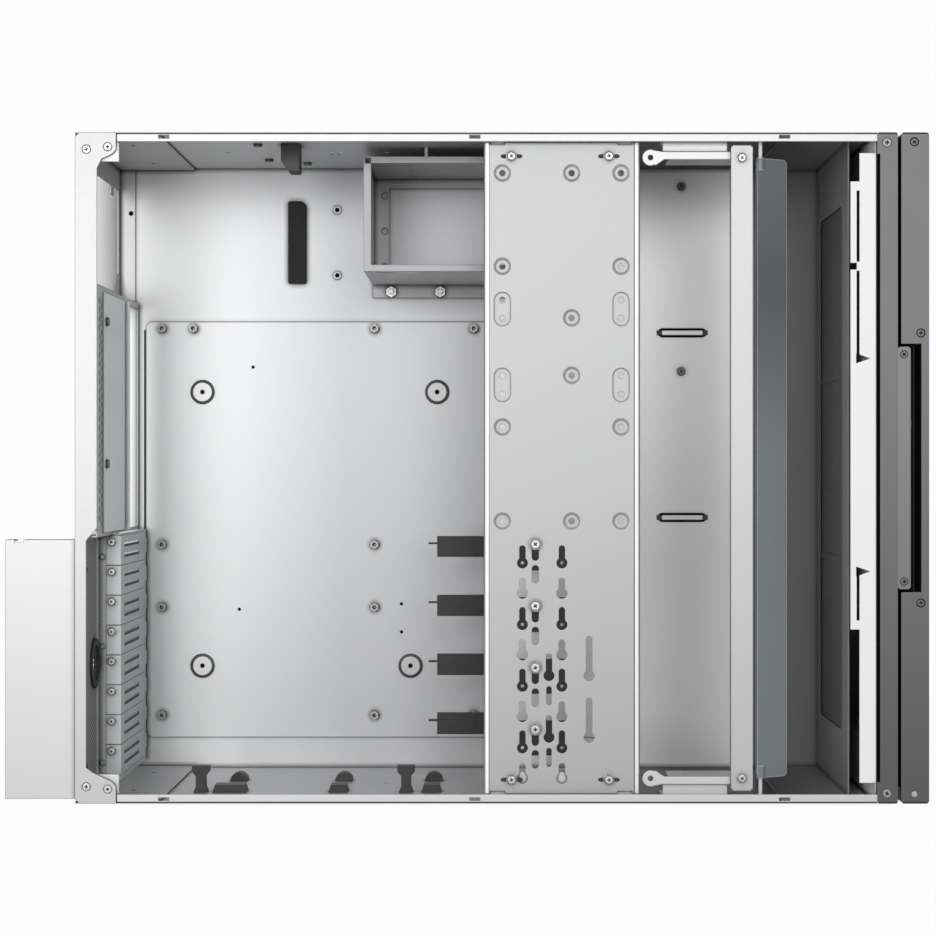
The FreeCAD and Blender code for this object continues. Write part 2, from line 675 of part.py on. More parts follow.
def make_bridge():
    t = sheet
    x0, x1 = bridge_x
    z0, z1 = bridge_z - t, bridge_z
    plate = block(x0, x1, -bridge_half, bridge_half, z1 - bridge_lip, z1)
    bends = [edge for edge in edges_along(plate, 1) if abs(edge.Vertexes[0].Point.z - z1) < 1e-6]
    plate = plate.makeFillet(bridge_bend, bends)
    dimples = [(x0 + bridge_columns["abc".index(column)], y)
               for y, columns in zip(bridge_rows, dimple_rows) for column in columns]
    bulges = [Part.makeCone(dimple_floor_r + 0.4, dimple_r + 0.2, dimple_bulge, V(x, y, z0 - dimple_bulge))
              for x, y in dimples]
    channel = block(x0 + t, x1 - t, -bridge_half - 1, bridge_half + 1, z1 - bridge_lip - 1, z0)
    ends = [block(x0 - 1, x1 + 1, side * (bridge_half - 1) - 2, side * (bridge_half - 1) + 2,
                  z1 - bridge_lip - 1, z0) for side in (1, -1)]
    plate = plate.cut([channel] + ends).fuse(bulges)
    cuts = []
    for x, y in dimples:
        cuts.append(Part.makeCone(dimple_floor_r, dimple_r, dimple_depth, V(x, y, z1 - dimple_depth)))
        cuts.append(post(x, y, z0 - 1, z1 + 1, drive_hole_r))
    for column in (0, 2):
        x = x0 + bridge_columns[column]
        for y in oval_rows:
            cuts.append(slot_y(x, y - oval_length / 2, y + oval_length / 2, oval_width,
                               z1 - oval_depth, z1 + 1))
            cuts += [post(x, y + dy, z0 - 1, z1 + 1, drive_hole_r) for dy in (-6.0, 6.0)]
    for side in (1, -1):
        edge = side * bridge_half
        cuts += [block(x0 + dx, x0 + dx + 10, edge - 1.5, edge + 1.5, z0 - 1, z1 + 1) for dx in (4.0, 88.0)]
        cuts += [post(x0 + dx, side * bridge_screw_y, z0 - 1, z1 + 1, 1.7) for dx in bridge_screw_dx]
    for k in range(holder_count):
        y = holder_y(k)
        for column in key_columns:
            cuts.append(keyhole(x0 + column, y - 1.0, y - 12.5, z0 - 1, z1 + 1))
            cuts.append(keyhole(x0 + column, y - 22.5, y - 32.5, z0 - 1, z1 + 1))
        cuts.append(slot_y(x0 + knob_column, y - holder_travel - 3.0, y + 2.4, 4.6, z0 - 1, z1 + 1))
        cuts.append(slot_y(x0 + knob_column, y - 26.0, y - 14.0, 4.6, z0 - 1, z1 + 1))
        if k > 1:
            cuts.append(keyhole(x0 + 43.0, y + 9.0, y - 5.5, z0 - 1, z1 + 1))
            cuts.append(keyhole(x0 + 69.5, y + 20.5, y - 5.5, z0 - 1, z1 + 1))
            cuts.append(slot_y(x0 + 43.0, y - 25.0, y - 12.5, 3.4, z0 - 1, z1 + 1))
    return plate.cut(cuts).removeSplitter()


nodes["bridge_plate"] = make_bridge()


def make_bridge_bracket():
    """Shelf on the side wall that carries one end of the bridge."""
    t = thin_sheet
    x0, x1 = bridge_x[0] + 2, bridge_x[1] - 2
    top = bridge_z - sheet
    shelf = block(x0, x1, bridge_half - bracket_depth, wall_in, top - t, top)
    back = block(x0, x1, wall_in - t, wall_in, top - 24, top)
    holes = [post(bridge_x[0] + dx, bridge_screw_y, top - 3, top + 1, 1.6) for dx in bridge_screw_dx]
    return shelf.fuse(back).cut(holes).removeSplitter()


nodes["bridge_bracket_psu_side"] = make_bridge_bracket()
nodes["bridge_bracket_slot_side"] = mirror_y(make_bridge_bracket())


def make_holder(index):
    """Black card holder: base under the bridge, web down, arm to the rear with a thin tip."""
    y = holder_y(index)
    x0 = bridge_x[0]
    top = bridge_z - sheet
    t = holder_sheet
    y0, y1 = y - 17.5, y + 5.5
    web_x = x0 + 20.0
    arm_y0, arm_y1 = y - 11.1, y - 11.1 + arm_width
    base = block(web_x, x0 + 57, y0, y1, top - t, top)
    web = block(web_x, web_x + t, arm_y0, arm_y1, arm_top - arm_height, top)
    arm_x0 = x0 - arm_reach
    arm = block(arm_x0, web_x + t, arm_y0, arm_y1, arm_top - arm_height, arm_top)
    hollow = block(arm_x0 + t, web_x, arm_y0 + t, arm_y1 - t, arm_top - arm_height - 1, arm_top - t)
    tip = block(arm_x0 - 6.0, arm_x0, y - 2.3, y - 1.1, arm_top - 5, arm_top - 1)
    rib = prism_y([(web_x + t, top - t), (web_x + t, top - 26), (web_x + 14, top - t)], y - 5.0, y - 3.4)
    bosses = [post(x0 + column, y - 3.4, top, top + sheet, key_slot / 2 - 0.3) for column in key_columns]
    body = base.fuse([web, arm, tip, rib] + bosses).cut(hollow)
    holes = [post(x0 + column, y - 12.5, top - t - 1, top + 1, 1.1) for column in key_columns]
    thread = post(x0 + knob_column, y, top - t - 1, top + 1, 1.75)
    return body.cut(holes + [thread]).removeSplitter()


def make_thumbscrew(index):
    x, y = bridge_x[0] + knob_column, holder_y(index)
    washer = post(x, y, bridge_z, bridge_z + 0.6, 4.0)
    head = Part.makeCone(3.6, 3.0, 3.4, V(x, y, bridge_z + 0.6))
    shank = post(x, y, bridge_z - sheet - holder_sheet - 1.5, bridge_z, 1.7)
    slot = block(x - 0.45, x + 0.45, y - 5, y + 5, bridge_z + 3.0, bridge_z + 5)
    return washer.fuse([head, shank]).cut(slot).removeSplitter()


for index in range(holder_count):
    nodes["card_holder_%d" % (index + 1)] = make_holder(index)
    nodes["holder_thumbscrew_%d" % (index + 1)] = make_thumbscrew(index)

# ---------------------------------------------------------------- drive cage
cage_x = (x_rear + 185.8, x_rear + 333.0)
cage_y = (half - 86.2, half - 7.9)
cage_top = 118.0
cage_lip = 4.6
cage_flange = 12.0
cage_hole_step = 26.0
nut_dx = (13.4, 49.2)


def make_cage():
    t = thin_sheet
    x0, x1 = cage_x
    y0, y1 = cage_y
    parts = [
        block(x0, x1, y1 - t, y1, floor_z, cage_top),
        block(x0 + 5, x1, y1 - cage_lip, y1, cage_top - t, cage_top),
        block(x0, x0 + 5.2, y0, y1 - cage_lip, cage_top - t, cage_top),
        block(x0 + 5, x1, y0, y0 + cage_lip, cage_top - t, cage_top),
        block(x0, x1, y0, y0 + t, floor_z, cage_top),
        block(x0, x0 + cage_flange, y0, y1, floor_z, floor_z + t),
        block(x0, x1, y1 - 8, y1, floor_z, floor_z + t),
        block(x0, x1, y0 - 9.5, y0 + t, floor_z, floor_z + t),
    ]
    cage = block(x0, x0 + t, y0, y1, floor_z, cage_top).fuse(parts)
    middle = (y0 + y1) / 2
    cuts = [post(x0 + 8.5, middle + k * cage_hole_step, 0, 9, 2.6) for k in (-1, 0, 1)]
    cuts += [post(x0 + dx, y0 - 5.2, 0, 9, 1.8) for dx in nut_dx]
    scoop_half = 20.0
    scoop_depth = 11.0
    scoop_r = (scoop_half ** 2 + scoop_depth ** 2) / (2 * scoop_depth)
    scoop_x = x0 + 7.0 + scoop_half
    cuts.append(rod_y(y0 - 1, y0 + t, scoop_x, cage_top - 6 - scoop_depth + scoop_r, scoop_r).common(
        block(x0, x1, y0 - 1, y0 + t, floor_z, cage_top - 6)))
    for k in range(3):
        z = 24.0 + 28.0 * k
        cuts += [rod_y(y1 - t - 1, y1 + 1, x0 + 30 + 60 * j, z, 1.9) for j in (0, 1)]
        cuts += [rod_y(y0 - 1, y0 + t + 1, x0 + 30 + 60 * j, z, 1.9) for j in (0, 1)]
    cuts.append(rod_y(y1 - t - 1, y1 + 1, x0 + 42.5, cage_top - 7, 1.3))
    return cage.cut(cuts).removeSplitter()


def make_cage_nut(dx):
    x, y = cage_x[0] + dx, cage_y[0] - 5.2
    nut = hexagon_z(x, y, floor_z + thin_sheet, floor_z + thin_sheet + 3.0, 7.0)
    return nut.fuse(post(x, y, floor_z + thin_sheet, floor_z + thin_sheet + 5.0, 1.7))


nodes["drive_cage"] = make_cage()
nodes["cage_nuts"] = Part.makeCompound([make_cage_nut(dx) for dx in nut_dx])
nodes["cage_tie_pin"] = rod_y(cage_y[1] - thin_sheet, wall_in, cage_x[0] + 42.5, cage_top - 7, 1.2)

# ---------------------------------------------------------------- fan bracket and cross bar
arm_z = height - 8.0
fan_arm_x = (x_tub_front - 148.1, x_tub_front - 81.0)
fan_arm_y = half - 11.6
fan_arm_flange = 5.0
fan_arm_drop = 60.0
eye_r = 5.3
eye_y = fan_arm_y - 3.8
rail_x = (x_tub_front - 140.0, x_tub_front - 97.5)
bar_x = (x_tub_front - 95.2, x_tub_front - 80.8)
bar_half = half - 8.4
bar_z = (arm_z, arm_z + sheet)
bar_screw_y = half - 15.8


def make_fan_rail():
    """Hat-shaped rail riveted to the side wall; the fan arm lies against it."""
    t = thin_sheet
    x0, x1 = rail_x
    y_in = fan_arm_y + fit_gap
    top = block(x0, x1, y_in, wall_in, arm_z - 2, arm_z - 1)
    back = block(x0, x1, wall_in - t, wall_in, arm_z - 40, arm_z - 1)
    front = block(x0, x1, y_in, y_in + t, arm_z - 40, arm_z - 1)
    return back.fuse([top, front]).removeSplitter()


def make_fan_arm():
    t = thin_sheet
    x0, x1 = fan_arm_x
    y1 = fan_arm_y
    y0 = y1 - fan_arm_flange
    web = block(x0 + 14, x1, y1 - t, y1, arm_z - fan_arm_drop, arm_z)
    flange = block(x0 + 14, x1, y0, y1, arm_z - t, arm_z)
    neck = prism([(x0 - 1, eye_y + eye_r), (x0 + 8, y1), (x0 + 14.5, y1), (x0 + 14.5, y0), (x0 + 9, y0),
                  (x0 + 3, eye_y - eye_r)], arm_z - t, arm_z)
    eye = post(x0, eye_y, arm_z - t, arm_z, eye_r)
    body = web.fuse([flange, neck, eye])
    cuts = [post(x0, eye_y, arm_z - 3, arm_z + 1, 1.8),
            post((bar_x[0] + bar_x[1]) / 2, bar_screw_y, arm_z - 3, arm_z + 1, 1.6)]
    for dx, dz in ((26.0, 14.0), (26.0, 44.0), (58.0, 14.0), (58.0, 44.0)):
        cuts.append(rod_y(y1 - 3, y1 + 1, x0 + dx, arm_z - dz, 2.1))
    return body.cut(cuts).removeSplitter()


def make_cross_bar():
    x0, x1 = bar_x
    z0, z1 = bar_z
    bar = block(x0, x1, -bar_half, bar_half, z0, z1)
    parts = []
    for side in (1, -1):
        edge = side * bar_half
        parts.append(block(x0 + 1, x1 - 1, min(edge, edge + side * 1.0), max(edge, edge + side * 1.0),
                           z0 - 6, z1))
    for x in (x0, x1 - thin_sheet):
        parts.append(block(x, x + thin_sheet, 13.6 - bar_half, bar_half - 13.6, z0 - 9, z1))
    bar = bar.fuse(parts)
    holes = [post((x0 + x1) / 2, side * bar_screw_y, z0 - 1, z1 + 1, 1.7) for side in (1, -1)]
    return bar.cut(holes).removeSplitter()


nodes["fan_rail_psu_side"] = make_fan_rail()
nodes["fan_rail_slot_side"] = mirror_y(make_fan_rail())
nodes["fan_arm_psu_side"] = make_fan_arm()
nodes["fan_arm_slot_side"] = mirror_y(make_fan_arm())
nodes["cross_bar"] = make_cross_bar()
nodes["bracket_screws"] = Part.makeCompound(
    [pan_screw(bridge_x[0] + dx, side * bridge_screw_y, bridge_z, 5.0, 3.6, 2.0)
     for dx in bridge_screw_dx for side in (1, -1)]
    + [pan_screw((bar_x[0] + bar_x[1]) / 2, side * bar_screw_y, bar_z[1], 4.5, 3.4, 1.8) for side in (1, -1)])

# ---------------------------------------------------------------- air baffle
pivot_x = x_tub_front - 75.5
pivot_z = height - 10.5
pivot_r = 1.3
baffle_half = half - 15.6
baffle_front = 20.6
baffle_back = 3.2
baffle_sheet = 2.0
baffle_tilt = 29.0
lug_r = 3.0
lug_length = 8.0


def make_baffle():
    """Clear sheet with a pivot lug at each end, leaning down towards the front."""
    plate = round_block(pivot_x - baffle_back, pivot_x + baffle_front, -baffle_half, baffle_half,
                        pivot_z - baffle_sheet / 2, pivot_z + baffle_sheet / 2, 3.0)
    lugs = [rod_y(baffle_half - lug_length, baffle_half, pivot_x, pivot_z, lug_r),
            rod_y(-baffle_half, -baffle_half + lug_length, pivot_x, pivot_z, lug_r)]
    body = plate.fuse(lugs)
    bores = [rod_y(baffle_half - lug_length + 1, baffle_half + 1, pivot_x, pivot_z, pivot_r + running_gap),
             rod_y(-baffle_half - 1, -baffle_half + lug_length - 1, pivot_x, pivot_z, pivot_r + running_gap)]
    body = body.cut(bores).removeSplitter()
    body.rotate(V(pivot_x, 0, pivot_z), V(0, 1, 0), baffle_tilt)
    return body


pin_reach = 5.0
pivot_pin = rod_y(baffle_half - pin_reach, wall_in, pivot_x, pivot_z, pivot_r)
pivot_collar = rod_y(wall_in - 2.0, wall_in, pivot_x, pivot_z, 3.0)
nodes["air_baffle"] = make_baffle()
nodes["baffle_pins"] = Part.makeCompound(both_sides(pivot_pin.fuse(pivot_collar)))

# ---------------------------------------------------------------- fan bay at the front
bay_x = (x_tub_front - 62.0, x_tub_front - 14.5)
bay_wall_top = height - 26.0
filter_x = (bay_x[1], bay_x[1] + 2.5)
filter_half = half - 30.0
filter_top = height - 40.0
filter_corner = 6.0
front_flange_x = (x_tub_front - 11.4, x_tub_front - 1.0)
strip_x = (x_tub_front - 17.3, x_tub_front - 13.3)
front_flange_half = half - 13.4
arrow_low = 2.3          # pointed notch at each end of the joined stretch
arrow_high = 4.2
arrow_reach = 7.0
arrow_rise = 0.9
strip_y = (114.0 - half, half - 32.0)
strip_solid_y = (-67.0, 71.0)
strip_break_y = half - 87.6
fan_step = 125.0
fan_y = (-fan_step, 0.0, fan_step)
fan_z = height / 2 - 16.0
fan_r = 57.0
fan_hole_step = 105.0
fan_hole_r = 2.2


def make_bay_liner():
    """Dark U-shaped liner that holds the dust filter."""
    t = thin_sheet
    x0, x1 = bay_x
    y_in = wall_in - fit_gap
    floor = block(x0, x1, -y_in, y_in, floor_z, floor_z + t)
    walls = both_sides(block(x0, x1, y_in - t, y_in, floor_z, bay_wall_top))
    back = block(x1 - t, x1, -y_in, y_in, floor_z, bay_wall_top)
    window = round_x(x1 - t - 1, x1 + 1, filter_half - 12, 14.0, filter_top - 12, 8.0)
    return floor.fuse(walls + [back]).cut(window).removeSplitter()


def round_x(x0, x1, half_y, z0, z1, radius):
    """Block across the case with its edges along X rounded."""
    body = block(x0, x1, -half_y, half_y, z0, z1)
    return body.makeFillet(radius, edges_along(body, 0))


def make_filter():
    """Dust filter: moulded rim around a fine screen."""
    body = round_x(*filter_x, filter_half, floor_z, filter_top, filter_corner)
    pocket_depth = 0.8
    pocket = round_x(filter_x[0] - 1, filter_x[0] + pocket_depth, filter_half - 8, floor_z + 8,
                     filter_top - 8, 3.0)
    pocket_front = round_x(filter_x[1] - pocket_depth, filter_x[1] + 1, filter_half - 8, floor_z + 8,
                           filter_top - 8, 3.0)
    bars = [block(filter_x[0] - 1, filter_x[1] + 1, y - 2, y + 2, floor_z, filter_top) for y in (-63.0, 63.0)]
    return body.cut([pocket.cut(bars), pocket_front.cut(bars)]).removeSplitter()


def make_front_wall():
    """Silver front wall with its stepped top flange and three fan openings."""
    t = sheet
    x1 = x_tub_front
    y_in = wall_in - fit_gap
    f0, f1 = front_flange_x
    s0, s1 = strip_x
    wall = block(x1 - t, x1, -y_in, y_in, floor_z, rim_under - fit_gap)
    top = rim_under - fit_gap
    flange = block(f0, x1, -front_flange_half, front_flange_half, top - t, top)
    strip = block(s0, s1, strip_y[0], strip_y[1], top - t, top)
    link = block(s0, f0 + 1, strip_solid_y[0], strip_solid_y[1], top - t, top)
    bridges = [block(s1 - 0.5, f0 + 0.5, y - 3, y + 3, top - t, top)
               for y in (strip_y[0] + 3, strip_y[1] - 3, strip_break_y)]
    body = wall.fuse([flange, strip, link] + bridges)
    cuts = [rod_x(x1 - t - 1, x1 + 1, y, fan_z, fan_r) for y in fan_y]
    cuts += [rod_x(x1 - t - 1, x1 + 1, y + dy, fan_z + dz, fan_hole_r)
             for y in fan_y for dy in (-fan_hole_step / 2, fan_hole_step / 2)
             for dz in (-fan_hole_step / 2, fan_hole_step / 2)]
    cuts.append(block(s0 - 1, s1 + 0.1, strip_break_y - 2.2, strip_break_y + 2.2, top - t - 1, top + 1))
    for edge, out in ((strip_solid_y[1], 1), (strip_solid_y[0], -1)):
        cuts.append(prism([(s1 - 0.3, edge - out * arrow_low), (f0 + arrow_reach, edge + out * arrow_rise),
                           (s1 - 0.3, edge + out * arrow_high)], top - t - 1, top + 1))
    return body.cut(cuts).removeSplitter()


nodes["bay_liner"] = make_bay_liner()
nodes["dust_filter"] = make_filter()
nodes["front_wall"] = make_front_wall()

# ---------------------------------------------------------------- front frame
frame_step = 2.0
frame_block = 14.0
frame_bar = 22.0
frame_screw_x = x_frame_back + 6.5
frame_screw_y = half - 6.6


def make_frame():
    body = round_block(x_frame_back, x_frame_front, -half, half, 0, height, 1.5)
    window = round_x(x_frame_back - 1, x_frame_front + 1, half - frame_bar, 12.0, height - frame_bar, 6.0)
    relief = block(x_frame_back - 1, x_frame_back + frame_step, -half + frame_block, half - frame_block,
                   frame_step, height + 1)
    cuts = [window, relief]
    cuts += [flat_seat(frame_screw_x, side * frame_screw_y, height, 3.4, 1.4, 1.6) for side in (1, -1)]
    cuts += [rod_x(x_frame_front - 5, x_frame_front + 1, y, io_z, 1.4) for y in io_fix_y]
    return body.cut(cuts).fuse(hinge_lugs()).removeSplitter()


# hinge line and door
hinge_x = x_door_back + 8.6
hinge_y = -half + 6.2
hinge_r = 2.0
lug_half = 4.2
lug_thick = 5.0
door_wall = 3.0
door_bottom = 2.0
door_corner = 2.0
recess_half = 81.5
door_plate = 5.0
door_window_half = half - 20.0
door_window_z = (16.0, height - 30.0)
grille_sheet = 1.2
grille_pitch = 22.0
grille_across = 18.0
door_screw_y = 88.5


def lug_levels():
    """Lower faces of the two hinge lugs, just inside the door's end walls."""
    return (door_bottom + door_wall + fit_gap, height - door_wall - fit_gap - lug_thick)


def hinge_lugs():
    lugs = []
    for z in lug_levels():
        arm = block(x_frame_front - 1, hinge_x, hinge_y - lug_half, hinge_y + lug_half, z, z + lug_thick)
        eye = post(hinge_x, hinge_y, z, z + lug_thick, lug_half)
        bore = post(hinge_x, hinge_y, z - 1, z + lug_thick + 1, hinge_r + running_gap)
        lugs.append(arm.fuse(eye).cut(bore))
    return lugs


# front control bar
io_half = 79.5
io_z = height - 10.0
io_depth = 8.4
io_height = 20.0
io_screw_y = 74.5
io_fix_y = (-62.0, 62.0)
x_io_front = x_frame_front + io_depth
button_y = 30.0
button_r = 6.0
button_stand = 1.0
button_travel = 1.5
button_back = 3.0
reset_y = 14.0
reset_r = 2.0
usb_y = (-22.0, -42.0)
usb_size = (13.2, 5.8)
usb_depth = 7.0

nodes["front_frame"] = make_frame()
nodes["front_frame_screws"] = Part.makeCompound(
    [flat_screw(frame_screw_x, side * frame_screw_y, height, 8.0, 3.4, 1.4, 1.6) for side in (1, -1)])


def button_pocket(y, radius):
    """Stepped pocket: a round hole whose back is the button's stop."""
    return rod_x(x_io_front - button_back - button_travel, x_io_front + 1, y, io_z, radius + 0.1)


def make_io_bar():
    z0, z1 = io_z - io_height / 2, io_z + io_height / 2
    bar = block(x_frame_front, x_io_front, -io_half, io_half, z0, z1)
    bar = bar.makeFillet(2.0, edges_along(bar, 2))
    cuts = [button_pocket(button_y, button_r), button_pocket(reset_y, reset_r)]
    for y in usb_y:
        cuts.append(block(x_io_front - usb_depth, x_io_front + 1, y - usb_size[0] / 2, y + usb_size[0] / 2,
                          io_z - usb_size[1] / 2, io_z + usb_size[1] / 2))
    cuts += [flat_seat(x_frame_front + io_depth / 2, side * io_screw_y, z1, 2.8, 1.2, 1.2) for side in (1, -1)]
    return bar.cut(cuts).removeSplitter()


def make_button(y, radius):
    """Cap with a domed edge; it stands out by button_stand and its back sits on the pocket floor when pressed."""
    cap = rod_x(x_io_front - button_back, x_io_front + button_stand, y, io_z, radius)
    return cap


def make_usb(y):
    wall = 0.4
    hy, hz = usb_size[0] / 2, usb_size[1] / 2
    x0, x1 = x_io_front - usb_depth, x_io_front
    shell = block(x0, x1, y - hy, y + hy, io_z - hz, io_z + hz)
    hollow = block(x0 + wall, x1 + 1, y - hy + wall, y + hy - wall, io_z - hz + wall, io_z + hz - wall)
    tongue = block(x0, x1 - 1.0, y - hy + 1.2, y + hy - 1.2, io_z + 0.2, io_z + 2.0)
    return shell.cut(hollow).fuse(tongue).removeSplitter()


nodes["control_bar"] = make_io_bar()
nodes["control_bar_screws"] = Part.makeCompound(
    [flat_screw(x_frame_front + io_depth / 2, side * io_screw_y, io_z + io_height / 2, 8.0, 2.8, 1.2, 1.1)
     for side in (1, -1)])
nodes["power_button"] = make_button(button_y, button_r)
nodes["reset_button"] = make_button(reset_y, reset_r)
nodes["usb_sockets"] = Part.makeCompound([make_usb(y) for y in usb_y])

# ---------------------------------------------------------------- front door


def make_door():
    """Moulded door: tray-shaped, open at the back, with a window and a gap in its top for the controls."""
    x0, x1 = x_door_back, x_face
    body = block(x0, x1, -half, half, door_bottom, height)
    body = body.makeFillet(door_corner, edges_along(body, 2))
    hollow = block(x0 - 1, x1 - door_plate, -half + door_wall, half - door_wall,
                   door_bottom + door_wall, height - door_wall)
    window = round_x(x1 - door_plate - 1, x1 + 1, door_window_half, *door_window_z, 8.0)
    recess = block(x0 - 1, x1 - door_plate, -recess_half, recess_half, height - door_wall - 1, height + 1)
    cuts = [hollow, window, recess]
    for z in lug_levels():
        cuts.append(block(x0 - 1, hinge_x + lug_half + 0.6, -half - 1, -half + door_wall + 1,
                          z - 0.6, z + lug_thick + 0.6))
    cuts += [post(hinge_x, hinge_y, door_bottom - 1, height + 1, hinge_r)]
    cuts += [post(x, y, height - 1.6, height + 1, 3.0) for x, y in door_screw_places()]
    cuts += [post(x, y, height - 6, height + 1, 1.6) for x, y in door_screw_places()]
    return body.cut(cuts).removeSplitter()


def door_screw_places():
    inner_x = x_face - 5.4
    return [(hinge_x, -hinge_y), (inner_x, door_screw_y), (inner_x, -door_screw_y)]


def make_grille():
    """Honeycomb sheet behind the window of the door."""
    x0, x1 = x_face - door_plate - grille_sheet, x_face - door_plate
    z0, z1 = door_window_z[0] - 5, door_window_z[1] + 5
    half_y = door_window_half + 5
    body = block(x0, x1, -half_y, half_y, z0, z1)
    holes = []
    rise = grille_pitch * math.sqrt(3) / 2
    rows = int((door_window_z[1] - door_window_z[0] - grille_across) / rise) + 1
    columns = int(2 * door_window_half / grille_pitch) - 1
    middle_z = (z0 + z1) / 2
    for row in range(rows):
        z = middle_z + (row - (rows - 1) / 2) * rise
        count = columns - row % 2
        for column in range(count):
            y = (column - (count - 1) / 2) * grille_pitch
            holes.append(hexagon_x(x0 - 1, x1 + 1, y, z, grille_across))
    return body.cut(holes)


nodes["front_door"] = make_door()
nodes["door_grille"] = make_grille()
lug_low, lug_high = lug_levels()
nodes["door_hinge_pins"] = Part.makeCompound([
    post(hinge_x, hinge_y, door_bottom, lug_low + lug_thick, hinge_r),
    post(hinge_x, hinge_y, lug_high, height - 0.3, hinge_r),
])


def make_door_screw(x, y):
    head = post(x, y, height - 1.6, height - 0.2, 2.9)
    body = head.fuse(post(x, y, height - 6, height - 1.6, 1.5))
    return body.cut(hexagon_z(x, y, height - 1.2, height + 1, 2.2))


nodes["door_screws"] = Part.makeCompound([make_door_screw(x, y) for x, y in door_screw_places()])

# ---------------------------------------------------------------- cable clips on the walls
hook_x = x_rear + 137.0
hook_half = 6.1
hook_reach = 18.5
hook_height = 22.0
clamp_x = (x_rear + 96.4, x_rear + 169.6, x_rear + 232.4)
clip_x = (x_rear + 76.8, x_rear + 215.3)
clip_z = height - 43.0
clip_height = 8.0
clip_reach = 18.0
dome_z = 77.0
dome_r = 6.2
dome_height = 10.0
jaw_reach = 5.2


def make_duct():
    """Black wire hook on the power supply side wall, chamfered towards the rear."""
    x0, x1 = hook_x - hook_half, hook_x + hook_half
    tip = wall_in - hook_reach
    outline = [(x0, wall_in), (x1, wall_in), (x1, tip), (x0 + 5.0, tip), (x0, tip + 7.0)]
    body = prism(outline, clip_z - hook_height, clip_z)
    pocket = block(x0 + 1.6, x1 - 3.6, wall_in - 12.0, wall_in - 5.0, clip_z - hook_height - 1, clip_z - 1.6)
    return body.cut(pocket)


def make_clamp(x, half_width):
    """Wire clamp: a tapered jaw high on the wall and a half-round jaw below it."""
    face = -wall_in
    upper = prism([(x - half_width, face), (x + half_width, face), (x + half_width - 1.8, face + jaw_reach),
                   (x - half_width + 1.8, face + jaw_reach)], clip_z - 12.0, clip_z)
    lower = post(x, face, dome_z - dome_height, dome_z, dome_r).common(
        block(x - dome_r, x + dome_r, face, face + dome_r, dome_z - dome_height, dome_z))
    return [upper, lower]


def make_clip(x):
    """T-shaped cable hook that stands out from the wall."""
    face = -wall_in
    waist, foot, head = 3.3, 4.9, 5.8
    outline = []
    for side in (1, -1):
        edge = [(x + side * foot, face), (x + side * waist, face + 4.0), (x + side * waist, face + 11.0),
                (x + side * head, face + 14.0), (x + side * head, face + clip_reach)]
        outline += edge if side == 1 else edge[::-1]
    return prism(outline, clip_z - clip_height, clip_z)


nodes["wire_duct"] = make_duct()
nodes["wire_clamps"] = Part.makeCompound(
    [jaw for x, half_width in zip(clamp_x, (11.8, 6.8, 6.8)) for jaw in make_clamp(x, half_width)])
nodes["strap_clips"] = Part.makeCompound([make_clip(x) for x in clip_x])

# ---------------------------------------------------------------- export
os.makedirs("parts", exist_ok=True)
for name, shape in nodes.items():
    shape.exportStep("parts/%s.step" % name)
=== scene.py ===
"""Rackmount server case: the finishes, screws, vents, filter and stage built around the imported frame.

Metres, in the frame's own axes: +X to the front door, +Y to the power supply side, +Z up.
"""

import json
import math

import bmesh
import bpy
from mathutils import Matrix, Vector


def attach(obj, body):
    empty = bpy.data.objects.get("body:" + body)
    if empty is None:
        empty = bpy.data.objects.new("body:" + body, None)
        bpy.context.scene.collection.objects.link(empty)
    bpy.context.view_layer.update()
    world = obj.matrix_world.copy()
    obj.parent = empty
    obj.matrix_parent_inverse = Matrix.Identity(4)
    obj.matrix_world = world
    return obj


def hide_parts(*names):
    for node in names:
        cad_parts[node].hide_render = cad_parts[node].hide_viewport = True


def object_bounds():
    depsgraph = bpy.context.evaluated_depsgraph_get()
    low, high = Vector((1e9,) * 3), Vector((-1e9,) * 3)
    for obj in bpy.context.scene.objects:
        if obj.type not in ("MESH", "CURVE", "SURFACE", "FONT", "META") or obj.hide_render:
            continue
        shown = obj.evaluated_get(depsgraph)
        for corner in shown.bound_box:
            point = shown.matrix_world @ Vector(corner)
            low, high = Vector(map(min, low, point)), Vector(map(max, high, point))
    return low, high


bl_info = {
    "name": "Rackmount server case",
    "version": (1, 0, 0),
    "blender": (4, 5, 0),
    "location": "3D View > Sidebar > Server case",
    "description": "Dresses the packed server case with its finishes, fasteners, vents and stage",
    "category": "Object",
}

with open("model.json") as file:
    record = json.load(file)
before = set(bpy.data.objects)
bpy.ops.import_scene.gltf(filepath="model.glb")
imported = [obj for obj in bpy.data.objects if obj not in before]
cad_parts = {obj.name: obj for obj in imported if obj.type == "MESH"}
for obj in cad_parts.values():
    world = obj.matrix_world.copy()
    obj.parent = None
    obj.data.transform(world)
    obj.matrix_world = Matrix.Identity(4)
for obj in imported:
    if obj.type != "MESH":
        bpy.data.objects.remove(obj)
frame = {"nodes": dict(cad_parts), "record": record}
CAD_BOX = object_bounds()
SLOT_COUNT = 8
HOLDER_COUNT = 4
SLIVER = 0.0006          # half of a thin sheet, used to tell its two faces apart
# Nearly black, used for painted shade in the front's pocket and ends and for painted shadow on the floor under
# the case.
BLACK = (0.004, 0.004, 0.004)
SHADE = (0.1, 0.1, 0.102)
# Dark colour of dirt and painted shade on the fasteners' seats, recesses and creases.
DARK_GRIME_AND_SHADE = (0.035, 0.028, 0.024)
NODE_BODY = {node: body for body, nodes in frame["record"]["behaviour"]["bodies"].items() for node in nodes}


